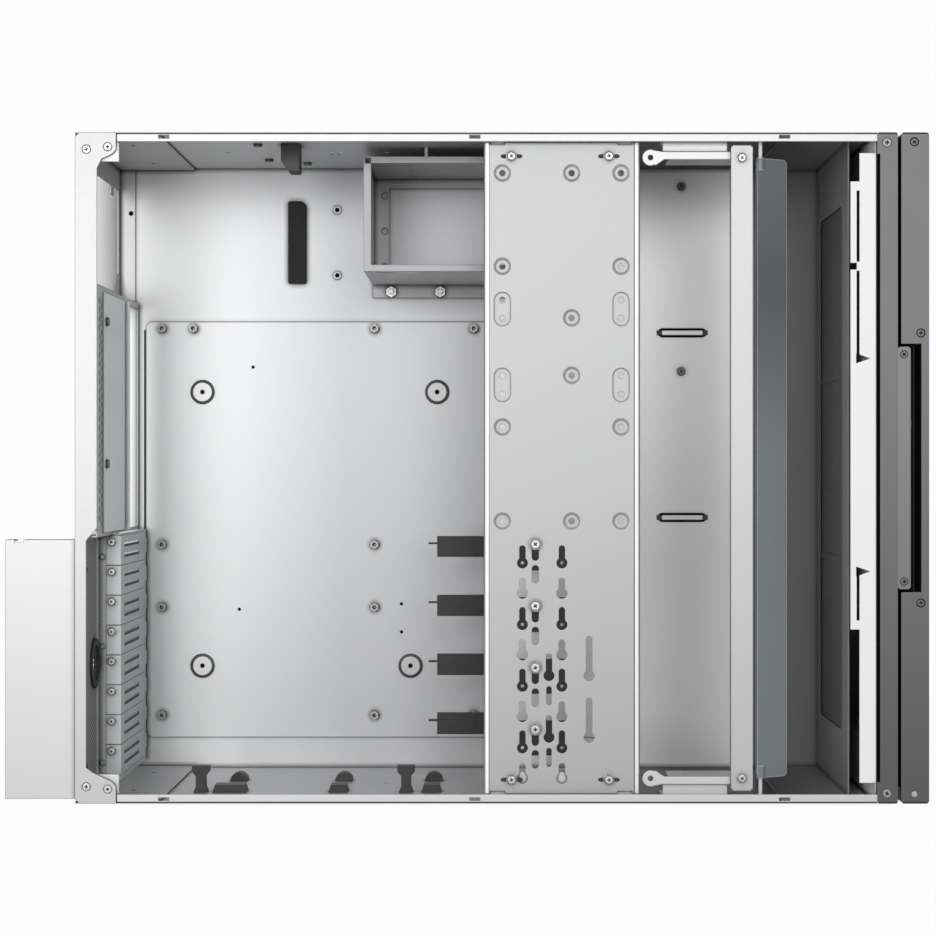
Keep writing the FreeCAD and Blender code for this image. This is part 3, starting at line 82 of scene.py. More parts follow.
# ---------------------------------------------------------------- settings
class SheetSettings(bpy.types.PropertyGroup):
    """Colours and sizes of the sheet metal."""
    zinc: bpy.props.FloatVectorProperty(
        name="Zinc", description="Colour of the coated sheet of the body", subtype="COLOR", size=3,
        default=(0.66, 0.664, 0.67), min=0, max=1)
    white: bpy.props.FloatVectorProperty(
        name="Bright sheet", description="Colour of the brighter outer sheets", subtype="COLOR", size=3,
        default=(0.74, 0.742, 0.75), min=0, max=1)
    galvanised: bpy.props.FloatVectorProperty(
        name="Galvanised", description="Colour of the greenish galvanised inner sheets", subtype="COLOR",
        size=3, default=(0.52, 0.55, 0.555), min=0, max=1)
    grain: bpy.props.FloatProperty(
        name="Grain", description="Size of the coating's grain", unit="LENGTH", default=0.0007, min=0.0001,
        max=0.01)
    # Width of the painted shade that darkens seams and creases.
    seam: bpy.props.FloatProperty(
        name="Seam", description="Width of the dark line in seams and creases", unit="LENGTH", default=0.004,
        min=0.0001, max=0.05)
    # Also the width of the painted highlight and shade along folds and cut edges.
    edge: bpy.props.FloatProperty(
        name="Edge", description="Rounding that the light catches along folds and cuts", unit="LENGTH",
        default=0.0008, min=0.0, max=0.01)


class PlasticSettings(bpy.types.PropertyGroup):
    """Colours of the plastic, rubber and dark painted parts."""
    front: bpy.props.FloatVectorProperty(
        name="Front grey", description="Colour of the front frame and door", subtype="COLOR", size=3,
        default=(0.225, 0.226, 0.232), min=0, max=1)
    black: bpy.props.FloatVectorProperty(
        name="Black", description="Colour of clips and card holders", subtype="COLOR", size=3,
        default=(0.024, 0.024, 0.0255), min=0, max=1)
    smoke: bpy.props.FloatVectorProperty(
        name="Smoke", description="Tint of the clear air baffle", subtype="COLOR", size=3,
        default=(0.125, 0.142, 0.148), min=0, max=1)
    liner: bpy.props.FloatVectorProperty(
        name="Liner", description="Colour of the dark fan bay", subtype="COLOR", size=3,
        default=(0.19, 0.19, 0.194), min=0, max=1)


class DetailSettings(bpy.types.PropertyGroup):
    """Sizes of the small pieces."""
    recess: bpy.props.FloatProperty(
        name="Recess", description="Width of a screw's drive recess against its head", default=0.42, min=0.1,
        max=0.9)
    # The fine vents and the covers' long vents are dark pieces of painted shade on the sheet, in place of
    # holes.
    vent_pitch: bpy.props.FloatProperty(
        name="Vent pitch", description="Distance between the fine holes over the slots", unit="LENGTH",
        default=0.0034, min=0.001, max=0.02)
    vent_hole: bpy.props.FloatProperty(
        name="Vent hole", description="Width of one fine hole over the slots", unit="LENGTH",
        default=0.0024, min=0.0005, max=0.02)
    slot_vent_place: bpy.props.FloatProperty(
        name="Slot vent place", description="Distance of a cover's long vents from its middle", unit="LENGTH",
        default=0.0036, min=0.001, max=0.01)
    slot_vent_width: bpy.props.FloatProperty(
        name="Slot vent width", description="Width of the dark part of a cover's long vent", unit="LENGTH",
        default=0.0017, min=0.0005, max=0.01)
    slot_vent_length: bpy.props.FloatProperty(
        name="Slot vent length", description="Length of a cover's long vent", unit="LENGTH", default=0.0638,
        min=0.001, max=0.2)
    slot_vent_height: bpy.props.FloatProperty(
        name="Slot vent height", description="Height of the middle of the long vents", unit="LENGTH",
        default=0.072, min=0.001, max=0.2)
    gauze: bpy.props.FloatProperty(
        name="Gauze", description="Thickness of the gauze behind the door's honeycomb", unit="LENGTH",
        default=0.0006, min=0.0001, max=0.005)
    pad_crown: bpy.props.FloatProperty(
        name="Pad rounding", description="Rounding of the foam pad's edges", unit="LENGTH", default=0.0011,
        min=0.0, max=0.01)


class StageSettings(bpy.types.PropertyGroup):
    """Camera, lamps and floor."""
    camera_height: bpy.props.FloatProperty(
        name="Camera height", description="Height of the camera over the rim", unit="LENGTH", default=1.512,
        min=0.5, max=5)
    camera_forward: bpy.props.FloatProperty(
        name="Camera place", description="Distance of the camera's axis in front of the middle", unit="LENGTH",
        default=0.023, min=-1, max=1)
    lens: bpy.props.FloatProperty(
        name="Lens", description="Focal length in millimetres", default=88.73, min=10, max=300)
    shift: bpy.props.FloatProperty(
        name="Shift", description="Sideways shift of the lens", default=-0.0363, min=-0.2, max=0.2)
    lamp_power: bpy.props.FloatProperty(
        name="Lamp power", description="Power of the main lamp", unit="POWER", default=11.3, min=0, max=1000)
    sky: bpy.props.FloatProperty(
        name="Sky", description="Brightness of the surroundings", default=0.42, min=0, max=5)
    paper: bpy.props.FloatVectorProperty(
        name="Paper", description="Colour of the floor", subtype="COLOR", size=3, default=(0.35, 0.35, 0.35),
        min=0, max=1)
    # The soft shadow is painted: the floor's glow fades out toward the case.
    shadow: bpy.props.FloatProperty(
        name="Shadow", description="Reach of the soft shadow around the foot of the case", unit="LENGTH",
        default=0.028, min=0.001, max=0.5)
    glow: bpy.props.FloatProperty(
        name="Glow", description="Brightness of the floor behind the object", default=1.07, min=0, max=5)


GROUPS = {
    "case_sheet": SheetSettings,
    "case_plastic": PlasticSettings,
    "case_detail": DetailSettings,
    "case_stage": StageSettings,
}


# ---------------------------------------------------------------- shader maths
class Term:
    """A shader value that takes part in Python arithmetic."""

    def __init__(self, finish, socket):
        self.finish = finish
        self.socket = socket

    def maths(self, operation, *others):
        """One Math node; others are numbers or terms."""
        values = {0: self}
        for place, other in enumerate(others, 1):
            values[place] = other
        return self.finish.add("ShaderNodeMath", {"operation": operation}, values)

    def __add__(self, other):
        return self.maths("ADD", other)

    __radd__ = __add__

    def __mul__(self, other):
        return self.maths("MULTIPLY", other)

    __rmul__ = __mul__

    def __sub__(self, other):
        return self.maths("SUBTRACT", other)

    def __rsub__(self, other):
        return self.finish.number(other).maths("SUBTRACT", self)

    def __gt__(self, other):
        return self.maths("GREATER_THAN", other)

    def __lt__(self, other):
        return self.maths("LESS_THAN", other)

    def ramp(self, low, high, start=0.0, end=1.0):
        """Clamped straight ramp from start at low to end at high."""
        values = {"Value": self, "From Min": low, "From Max": high, "To Min": start, "To Max": end}
        return self.finish.add("ShaderNodeMapRange", {"clamp": True}, values)


class Finish:
    """One material and the nodes that make it."""

    def __init__(self, name):
        self.material = bpy.data.materials.new(name)
        self.material.use_nodes = True
        self.tree = self.material.node_tree
        self.tree.nodes.clear()
        self.output = self.tree.nodes.new("ShaderNodeOutputMaterial")
        self.shader = self.tree.nodes.new("ShaderNodeBsdfPrincipled")
        self.tree.links.new(self.shader.outputs["BSDF"], self.output.inputs["Surface"])
        self.place = self.tree.nodes.new("ShaderNodeTexCoord").outputs["Object"]

    def number(self, value):
        node = self.tree.nodes.new("ShaderNodeValue")
        node.outputs[0].default_value = value
        return Term(self, node.outputs[0])

    def feed(self, socket, value):
        """Links a term, or sets a plain value."""
        if isinstance(value, Term):
            self.tree.links.new(value.socket, socket)
        elif isinstance(value, bpy.types.NodeSocket):
            self.tree.links.new(value, socket)
        else:
            socket.default_value = value

    def add(self, kind, settings, values, output=0):
        """Any node: settings first, then the values or links of its sockets."""
        node = self.tree.nodes.new(kind)
        for name, value in settings.items():
            setattr(node, name, value)
        for name, value in values.items():
            self.feed(node.inputs[name], value)
        return Term(self, node.outputs[output])

    def noise(self, size, detail=3.0, roughness=0.55):
        """Noise whose features are about size metres wide."""
        return self.add("ShaderNodeTexNoise", {}, {"Vector": self.place, "Scale": 1 / size, "Detail": detail,
                                                   "Roughness": roughness})

    def mix(self, factor, low, high):
        """Colour mix from low at 0 to high at 1."""
        node = self.tree.nodes.new("ShaderNodeMix")
        node.data_type = "RGBA"
        self.feed(node.inputs["Factor"], factor)
        for socket, value in ((node.inputs[6], low), (node.inputs[7], high)):
            self.feed(socket, value if isinstance(value, Term) else (*value, 1))
        return Term(self, node.outputs[2])

    def axis(self, name):
        """One coordinate of the object's own place."""
        return self.add("ShaderNodeSeparateXYZ", {}, {0: self.place}, "XYZ".index(name))

    def bump(self, height, distance, strength=1.0, edge=0.0):
        """Relief on the surface; edge rounds the way the light falls along sharp corners."""
        values = {"Height": height, "Distance": distance, "Strength": strength}
        if edge > 0:
            values["Normal"] = self.rounded(edge)
        return self.add("ShaderNodeBump", {}, values)

    def rounded(self, width):
        return self.add("ShaderNodeBevel", {"samples": 6}, {"Radius": width})

    def rim(self, width):
        """1 along the outer edges of the shape and 0 on its faces."""
        rounded = self.rounded(width)
        flat = self.tree.nodes.new("ShaderNodeNewGeometry").outputs["Normal"]
        agree = self.add("ShaderNodeVectorMath", {"operation": "DOT_PRODUCT"}, {0: rounded, 1: flat}, "Value")
        return (1.0 - agree).ramp(0.02, 0.25)

    def crease(self, width, low=0.35, high=0.95):
        """0 deep in creases, holes and seams narrower than width, 1 on open faces."""
        open_sky = self.add("ShaderNodeAmbientOcclusion", {"samples": 6}, {"Distance": width}, "AO")
        return open_sky.ramp(low, high)

    def within(self, low=(None, None, None), high=(None, None, None)):
        """1 inside a box of the object's own place; None leaves a side open."""
        mask = self.number(1.0)
        for letter, start, end in zip("XYZ", low, high):
            if start is not None:
                mask = mask * (self.axis(letter) > start)
            if end is not None:
                mask = mask * (self.axis(letter) < end)
        return mask

    def set(self, **values):
        for name, value in values.items():
            self.feed(self.shader.inputs[name.replace("_", " ")], value)
        return self.material


def shade(colour, factor):
    return tuple(min(1.0, channel * factor) for channel in colour)


def node_box(node):
    """Lowest and highest corner of one CAD node."""
    corners = [Vector(corner) for corner in frame["nodes"][node].bound_box]
    return corners[0], corners[6]


# ---------------------------------------------------------------- covers: light and shade painted by place
FLOOR_TOP = 0.0025       # between the floor sheet and everything that stands on it


def wall_shade(finish):
    """Painted shade, nearly black, on both side walls between the bridge and the fan bay."""
    start, end = node_box("bridge_plate")[1].x, node_box("bay_liner")[0].x
    floor, top = 0.002, CAD_BOX[1].z - 0.003
    inner, outer = CAD_BOX[1].y - 0.0015, CAD_BOX[1].y - SLIVER
    sides = finish.within((start, inner, floor), (end, outer, top))
    sides = sides + finish.within((start, -outer, floor), (end, -inner, top))
    return sides, (0.014, 0.014, 0.015)


def floor_light(finish):
    """Painted light: a brighter floor from under the bridge to the front."""
    start = node_box("bridge_plate")[0].x
    return finish.within((start, None, None), (None, None, FLOOR_TOP)), (0.95, 0.95, 0.955)


def front_floor_light(finish):
    """The painted light on the floor in front of the bridge is weaker in its middle."""
    mask = finish.within((node_box("bridge_plate")[1].x, None, None), (None, None, FLOOR_TOP))
    middle = finish.axis("Y").ramp(0.15, -0.02) * finish.axis("Y").ramp(-0.17, -0.07)
    return mask * middle, (0.80, 0.805, 0.81)


def tray_shade(finish):
    """Painted shade on the board tray, growing from its middle to the bridge."""
    tray_top, start, end = 0.0032, -0.19, -0.09
    floor = finish.within((None, None, None), (node_box("bridge_plate")[0].x + 0.002, None, tray_top))
    return finish.axis("X").ramp(start, end) * floor * 0.8, (0.46, 0.464, 0.475)


def tray_edge_shade(finish):
    """Painted shade, nearly black, on the floor between the rear walls and the board tray."""
    edge = node_box("slot_frame")[1].x + 0.0001
    width, height = 0.0019, 0.0018
    side_low, side_high = -0.2, 0.101
    return finish.within((edge - width, side_low, None), (edge, side_high, height)), (0.01, 0.01, 0.01)


def slope_shade(finish):
    """Painted shade on the slopes of the pressed dishes and bosses in the floor."""
    steepest, flattest, boss_top = 0.2, 0.985, 0.0045
    normal = finish.tree.nodes.new("ShaderNodeNewGeometry").outputs["True Normal"]
    upright = finish.add("ShaderNodeSeparateXYZ", {}, {0: normal}, 2)
    slopes = (upright > steepest) * (upright < flattest) * (finish.axis("Z") < boss_top)
    return slopes, (0.13, 0.13, 0.133)


# The bright bend is a painted highlight.
BEND = 0.0032            # width of the bright bend along each edge of the bridge


def bridge_bend_highlight(finish):
    """Painted highlight along the bends at both edges of the bridge."""
    low, high = node_box("bridge_plate")
    outer = (finish.axis("X") < low.x + BEND) + (finish.axis("X") > high.x - BEND)
    return outer, (0.98, 0.985, 1.0)


def bridge_shade_lines(finish):
    """Thin lines of painted shade inside and outside the bright bends."""
    low, high = node_box("bridge_plate")
    rear, front = finish.axis("X") - low.x, high.x - finish.axis("X")
    lines = (rear < SLIVER) + (front < SLIVER) + (rear > BEND) * (rear < BEND + 0.0006)
    lines = lines + (front > BEND) * (front < BEND + 0.001)
    return lines, (0.2, 0.2, 0.21)


def cage_rim_shade(finish):
    """Painted shade on the top rim of the drive cage."""
    return finish.axis("Z") > node_box("drive_cage")[1].z - SLIVER, (0.34, 0.342, 0.35)


def cage_floor(finish):
    """The cage's floor is in the shade of its walls."""
    cage_floor_top = 0.003
    return finish.axis("Z") < cage_floor_top, (0.38, 0.382, 0.39)


def rail_shade_line(finish):
    """Thin line of painted shade along the outer top edge of the rails."""
    top, wall = CAD_BOX[1].z - 0.0016, CAD_BOX[1].y - 0.0013
    return (finish.axis("Z") > top) * (finish.axis("Y").maths("ABSOLUTE") > wall), SHADE


def flange_edge_shade(finish):
    """Rolled front edge of the silver flange, in the shade of the front frame."""
    edge = node_box("front_frame")[0].x
    roll, flange_low = 0.0008, 0.15
    return finish.within((edge - roll, None, flange_low)), SHADE


# ---------------------------------------------------------------- finishes
def coated_sheet(name, colour, settings, metal=0.5, rough=0.43, cloud=0.012, edge_light=1.3, covers=()):
    """Zinc-coated steel: a fine spangle, painted shade in seams and creases, and a painted highlight along
    folds and cut edges that turns into a line of painted shade when the edge's tone is below 1.

    Each cover is a function of the finish that gives a mask and a colour, laid over the coat; the covers paint
    light and shade by place.
    """
    finish = Finish(name)
    clouds = finish.noise(0.16, 3.0)
    grain = finish.noise(settings.grain, 2.0)
    tone = clouds.ramp(0.3, 0.7, 0.0, 0.5) + grain.ramp(0.3, 0.7, 0.0, 0.5)
    body = finish.mix(tone, shade(colour, 1 - cloud), shade(colour, 1 + cloud))
    edge_light_mix = 0.4 if edge_light > 1 else 0.85
    # Painted highlight along folds and cut edges; an edge tone below 1 paints a line of shade there.
    coloured = finish.mix(finish.rim(settings.edge) * edge_light_mix, body, shade(colour, edge_light))
    for cover in covers:
        mask, over = cover(finish)
        coloured = finish.mix(mask, coloured, over)
        metal = mask.ramp(0, 1, metal, 0.0) if max(over) < 0.1 else metal
    # Painted shade in creases and seams.
    coloured = finish.mix(finish.crease(settings.seam, 0.45, 1.0), shade(colour, 0.07), coloured)
    roughness = rough + grain.ramp(0.3, 0.7, -0.02, 0.03)
    return finish.set(Base_Color=coloured, Metallic=metal, Roughness=roughness,
                      Normal=finish.bump(grain, 0.00002, 0.6, settings.edge))


def powder_coat(name, colour, settings, rough=0.5, shade_fade=1.0, shaded=(), shade_span=("Y", -0.2, 0.1)):
    """Dark textured coat with a fine leathery grain, a painted highlight along its edges and painted shade in
    its creases.

    It is painted darker toward the start of the span, as shade, and it is painted black inside the shaded
    boxes, such as the pocket of the control bar, as shade.
    """
    finish = Finish(name)
    pits = finish.noise(0.0009, 3.0, 0.6)
    clouds = finish.noise(0.09, 3.0)
    body = finish.mix(clouds.ramp(0.3, 0.7), shade(colour, 0.96), shade(colour, 1.04))
    # Painted shade: darker toward the start of the span.
    if shade_fade < 1:
        letter, start, end = shade_span
        body = finish.mix(finish.axis(letter).ramp(start, end), shade(colour, shade_fade), body)
    # Painted highlight along the edges.
    body = finish.mix(finish.rim(settings.edge) * 0.5, body, shade(colour, 1.8))
    # Painted shade: black inside the shaded boxes.
    for low, high in shaded:
        body = finish.mix(finish.within(low, high), body, BLACK)
    # Painted shade in creases and seams.
    body = finish.mix(finish.crease(settings.seam), shade(colour, 0.1), body)
    return finish.set(Base_Color=body, Roughness=pits.ramp(0.3, 0.7, rough - 0.06, rough + 0.1),
                      Normal=finish.bump(pits, 0.00008, 0.6, settings.edge))


def moulded_plastic(name, colour, rough=0.42, shaded=()):
    """Moulded plastic with a faint spark-eroded grain; it is painted black inside the shaded boxes, as shade.
    """
    finish = Finish(name)
    grain = finish.noise(0.0006, 2.0)
    wear = finish.noise(0.01, 4.0)
    body = finish.mix(wear.ramp(0.35, 0.75), shade(colour, 0.85), shade(colour, 1.3))
    # Painted shade: black inside the shaded boxes.
    for low, high in shaded:
        body = finish.mix(finish.within(low, high), body, (0.001, 0.001, 0.001))
    return finish.set(Base_Color=body, Roughness=grain.ramp(0.3, 0.7, rough - 0.05, rough + 0.12),
                      Normal=finish.bump(grain, 0.00003, 0.5))


def plated_steel(name, colour, grime_and_shade, rough=0.24):
    """Bright plated fastener steel with turning marks; each head's seat ring and cross recess are darkened as
    dirt and painted shade, and its creases get painted shade in the same dark colour.
    """
    finish = Finish(name)
    marks = finish.noise(0.0012, 4.0, 0.6)
    body = finish.mix(marks.ramp(0.3, 0.7), shade(colour, 0.8), colour)
    dirt_and_shade = finish.add("ShaderNodeAttribute", {"attribute_name": "grime_and_shade"}, {}, "Fac")
    # Dirt and painted shade darken the marked seat and recess; below, painted shade darkens the creases.
    body = finish.mix(dirt_and_shade.ramp(0.15, 0.85), body, grime_and_shade)
    body = finish.mix(finish.crease(0.0015), grime_and_shade, body)
    return finish.set(Base_Color=body, Metallic=dirt_and_shade.ramp(0.2, 0.8, 0.7, 0.0),
                      Roughness=marks.ramp(0.3, 0.7, rough - 0.06, rough + 0.12) + dirt_and_shade * 0.4,
                      Normal=finish.bump(marks, 0.00002, 0.4, 0.0003))


def smoked_sheet(name, colour):
    """Clear smoked sheet with a painted highlight along its edges and painted light toward the -Y end and at
    the far +Y end.
    """
    finish = Finish(name)
    haze = finish.noise(0.05, 3.0)
    edge = finish.rim(0.0014)
    # Painted light: paler toward the -Y end and at the far +Y end.
    body = finish.mix(finish.axis("Y").ramp(0.11, 0.01), shade(colour, 1.05), shade(colour, 1.9))
    body = finish.mix(finish.axis("Y").ramp(0.13, 0.2), body, shade(colour, 1.5))
    # Painted highlight along the edges.
    body = finish.mix(edge * 0.7, body, (0.7, 0.74, 0.75))
    see_through = 0.84 + haze.ramp(0.3, 0.7, 0.0, 0.05) + edge * 0.1
    return finish.set(Base_Color=body, Roughness=haze.ramp(0.3, 0.7, 0.12, 0.2), Alpha=see_through)


def foam_rubber(name, colour):
    """Open-cell foam."""
    finish = Finish(name)
    cells = finish.add("ShaderNodeTexVoronoi", {}, {"Vector": finish.place, "Scale": 1400.0})
    body = finish.mix(cells.ramp(0.0, 0.7), shade(colour, 0.5), shade(colour, 1.8))
    return finish.set(Base_Color=body, Roughness=0.95, Normal=finish.bump(cells, 0.0003, 0.8))


def filter_screen(name, colour):
    """Fine woven screen of the dust filter; the threads run up and across."""
    finish = Finish(name)
    thread = 2 * math.pi / 0.0016
    across = (finish.axis("Y") * thread).maths("SINE")
    up = (finish.axis("Z") * thread).maths("SINE")
    weave = across.maths("MAXIMUM", up)
    body = finish.mix(weave.ramp(-0.2, 0.8), shade(colour, 0.35), shade(colour, 1.5))
    return finish.set(Base_Color=body, Roughness=0.6, Normal=finish.bump(weave, 0.0002, 0.7))


# ---------------------------------------------------------------- mesh helpers
def new_piece(name, mesh_maker, material, body, stands_for=()):
    """Object from a bmesh, riding on a body of the frame."""
    mesh = bpy.data.meshes.new(name)
    mesh_maker.normal_update()
    mesh_maker.to_mesh(mesh)
    mesh_maker.free()
    piece = bpy.data.objects.new(name, mesh)
    bpy.context.scene.collection.objects.link(piece)
    mesh.materials.append(material)
    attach(piece, body)
    if stands_for:
        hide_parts(*stands_for)
    return piece


def islands(node):
    """(lowest, highest) corners of each separate solid in a CAD node."""
    work = bmesh.new()
    work.from_mesh(frame["nodes"][node].data)
    bmesh.ops.remove_doubles(work, verts=work.verts, dist=1e-6)
    left = set(work.verts)
    found = []
    for seed in work.verts:
        if seed not in left:
            continue
        left.remove(seed)
        grown, group = [seed], []
        while grown:
            vertex = grown.pop()
            group.append(vertex.co.copy())
            for edge in vertex.link_edges:
                other = edge.other_vert(vertex)
                if other in left:
                    left.remove(other)
                    grown.append(other)
        low = Vector(min(point[axis] for point in group) for axis in range(3))
        high = Vector(max(point[axis] for point in group) for axis in range(3))
        found.append((low, high))
    work.free()
    return found


def outer_edges(extruded):
    """The new edges and vertices that an extrusion of a ring made."""
    edges = [item for item in extruded if isinstance(item, bmesh.types.BMEdge)]
    verts = [item for item in extruded if isinstance(item, bmesh.types.BMVert)]
    return edges, verts


def turned_head(work, radius, height, recess, facing, under, washer):
    """Screw head with a rounded rim and a cross recess; its seat is at the origin, its top along +Z."""
    # This attribute marks the seat ring, the underside of the rim and the cross recess for dirt and painted
    # shade.
    grime_and_shade = work.verts.layers.float["grime_and_shade"]
    start = bmesh.ops.create_circle(work, segments=24, radius=radius * (1 + washer))["verts"]
    edges = list(dict.fromkeys(edge for vertex in start for edge in vertex.link_edges))
    for vertex in start:
        vertex[grime_and_shade] = 1.0
    verts = list(start)
    steps = [(radius, height * 0.3, 0.9), (radius * 0.97, height * 0.6, 0.35),
             (radius * 0.9, height * 0.85, 0.0), (radius * 0.74, height, 0.0)]
    if washer > 0:
        steps = [(radius * (1 + washer), height * 0.14, 0.5), (radius * (1 + washer * 0.6), height * 0.2, 0.0),
                 (radius * 1.01, height * 0.18, 0.9)] + steps
    for new_radius, level, dirt_and_shade in steps:
        edges, rim = outer_edges(bmesh.ops.extrude_edge_only(work, edges=edges)["geom"])
        for vertex in rim:
            flat = Vector((vertex.co.x, vertex.co.y)).normalized() * new_radius
            vertex.co = Vector((flat.x, flat.y, level))
            vertex[grime_and_shade] = dirt_and_shade
        verts += rim
    for spread, level, dirt_and_shade in ((1.0, 1.0, 0.35), (0.78, 0.45, 1.0)):
        edges, rim = outer_edges(bmesh.ops.extrude_edge_only(work, edges=edges)["geom"])
        for vertex in rim:
            angle = math.atan2(vertex.co.y, vertex.co.x)
            reach = radius * recess * spread * (1.0 if abs(math.sin(2 * angle)) < 0.55 else 0.45)
            vertex.co = Vector((math.cos(angle) * reach, math.sin(angle) * reach, height * level))
            vertex[grime_and_shade] = dirt_and_shade
        verts += rim
    bmesh.ops.contextual_create(work, geom=edges)
    stem = bmesh.ops.create_cone(work, cap_ends=True, segments=12, radius1=radius * 0.5, radius2=radius * 0.5,
                                 depth=under, matrix=Matrix.Translation((0, 0, -under / 2)))["verts"]
    bmesh.ops.transform(work, matrix=facing, verts=verts + stem)


def turned_heads(name, node, settings, material, washer=0.0):
    """Replaces every screw of a CAD node with a turned head and a plain stem on the same spot.

    Each head is turned by an angle that follows its place, as if it was driven by hand.
    """
    tallest_head, spin_x, spin_y = 0.0022, 900, 700
    work = bmesh.new()
    work.verts.layers.float.new("grime_and_shade")
    for low, high in islands(node):
        middle = (low + high) / 2
        radius = min(high.x - low.x, high.y - low.y) / 2
        depth = high.z - low.z
        head = min(depth * 0.32, tallest_head)
        place = Matrix.Translation((middle.x, middle.y, high.z - head))
        turn = Matrix.Rotation(middle.x * spin_x + middle.y * spin_y, 4, "Z")
        turned_head(work, radius / (1 + washer), head, settings.recess, place @ turn, depth - head, washer)
    bmesh.ops.recalc_face_normals(work, faces=work.faces)
    return new_piece(name, work, material, NODE_BODY[node], [node])


# ---------------------------------------------------------------- operators
def paint(node, material):
    """Gives a CAD node one finish."""
    data = frame["nodes"][node].data
    data.materials.clear()
    data.materials.append(material)


class CASE_OT_sheets(bpy.types.Operator):
    """Finish the folded sheets: tub, rear panel, bridge, cage, brackets and covers"""
    bl_idname = "case.sheets"
    bl_label = "Sheet metal"

    def execute(self, context):
        settings = context.scene.case_sheet
        zinc = coated_sheet("zinc_sheet", settings.zinc, settings)
        tub = coated_sheet("tub_sheet", settings.zinc, settings, covers=(
            tray_shade, floor_light, front_floor_light, slope_shade, tray_edge_shade, wall_shade, rail_shade_line))
        bridge = coated_sheet("bridge_sheet", shade(settings.zinc, 0.7), settings,
                              covers=(bridge_bend_highlight, bridge_shade_lines))
        cage = coated_sheet("cage_sheet", settings.zinc, settings, covers=(cage_floor, cage_rim_shade))
        # These two sheets get painted shade, not a highlight, along their edges.
        bright = coated_sheet("bright_sheet", shade(settings.white, 0.74), settings, edge_light=0.45)
        hood = coated_sheet("hood_sheet", shade(settings.white, 0.84), settings, edge_light=0.3)
        green = coated_sheet("galvanised_sheet", shade(settings.galvanised, 1.22), settings, 0.4, 0.45, 0.05)
        # Painted light: a brighter copy of the galvanised colour for the blank plate.
        lit_galvanised_sheet = coated_sheet("lit_galvanised", shade(settings.galvanised, 1.75), settings, 0.4, 0.45, 0.04)
        silver = coated_sheet("silver_wall", shade(settings.white, 1.25), settings, 0.1, 0.5,
                              covers=(flange_edge_shade,))
        for node in frame["nodes"]:
            if node == "fan_blank_plate":
                paint(node, lit_galvanised_sheet)
            elif node.startswith(("slot_cover_", "slot_frame")) and "screws" not in node:
                paint(node, green)
            elif node == "rear_hood":
                paint(node, hood)
            elif node == "chassis_tub":
                paint(node, tub)
            elif node in ("rear_panel", "cross_bar"):
                paint(node, bright)
            elif node.startswith("front_wall"):
                paint(node, silver)
            elif node == "bridge_plate":
                paint(node, bridge)
            elif node == "drive_cage":
                paint(node, cage)
            elif node.startswith(("bridge_", "fan_")):
                paint(node, zinc)
        return {"FINISHED"}


class CASE_OT_plastics(bpy.types.Operator):
    """Finish the front, the clips, the card holders, the baffle and the dark fan bay"""
    bl_idname = "case.plastics"
    bl_label = "Plastics and dark parts"

    def execute(self, context):
        settings = context.scene.case_plastic
        sheet = context.scene.case_sheet
        top_skin, side_skin, door_skin = 0.0008, 0.0011, 0.0028
        corner, bar_corner = CAD_BOX[1], node_box("control_bar")[1]
        rim, outline = corner.z - top_skin, corner.y - side_skin
        reach, pocket_floor = bar_corner.y + 0.002, 0.02
        # Painted shade: the pocket of the control bar is black.
        pocket = ((bar_corner.x + 0.0001, -reach, pocket_floor), (corner.x - door_skin, reach, rim))
        # Painted shade: a black line along the top at both ends of the front.
        ends = (((None, outline, rim - SLIVER), (None, None, None)),
                ((None, None, rim - SLIVER), (None, -outline, None)))
        # The front and the bar are painted darker toward the -Y end, as shade.
        front = powder_coat("front_grey", settings.front, sheet, shade_fade=0.44, shaded=(pocket, *ends))
        bar = powder_coat("bar_grey", shade(settings.front, 1.22), sheet, shade_fade=0.6)
        black = moulded_plastic("black_plastic", settings.black)
        bay_low, bay_high = node_box("bay_liner")
        # Painted shade: the bay darkens toward its rear.
        liner = powder_coat("bay_black", shade(settings.liner, 1.25), sheet, 0.42, shade_fade=0.3,
                            shade_span=("X", bay_low.x, bay_high.x - 0.01))
        grille = powder_coat("grille_black", shade(settings.liner, 0.6), sheet, 0.4)
        rubber = moulded_plastic("rubber_black", shade(settings.black, 0.7), 0.6)
        white = moulded_plastic("white_plastic", (0.72, 0.73, 0.73), 0.4)
        smoke = smoked_sheet("smoked_clear", settings.smoke)
        screen = filter_screen("filter_screen", (0.13, 0.13, 0.133))
        for node in ("front_door", "front_frame"):
            paint(node, front)
        for node in ("control_bar", "power_button", "reset_button"):
            paint(node, bar)
        # Painted shade: the card holders are black where they run under the bridge.
        under_bridge = ((node_box("bridge_plate")[0].x + 0.001, None, None), (None, None, None))
        holder = moulded_plastic("holder_black", settings.black, 0.55, (under_bridge,))
        for node in frame["nodes"]:
            if node.startswith("card_holder"):
                paint(node, holder)
            elif node.startswith(("wire_", "strap_")):
                paint(node, black)
        paint("bay_liner", liner)
        paint("door_grille", grille)
        paint("cable_grommet", rubber)
        paint("dust_filter", screen)
        paint("air_baffle", smoke)
        for node in ("baffle_pins", "cage_tie_pin"):
            paint(node, white)
        return {"FINISHED"}


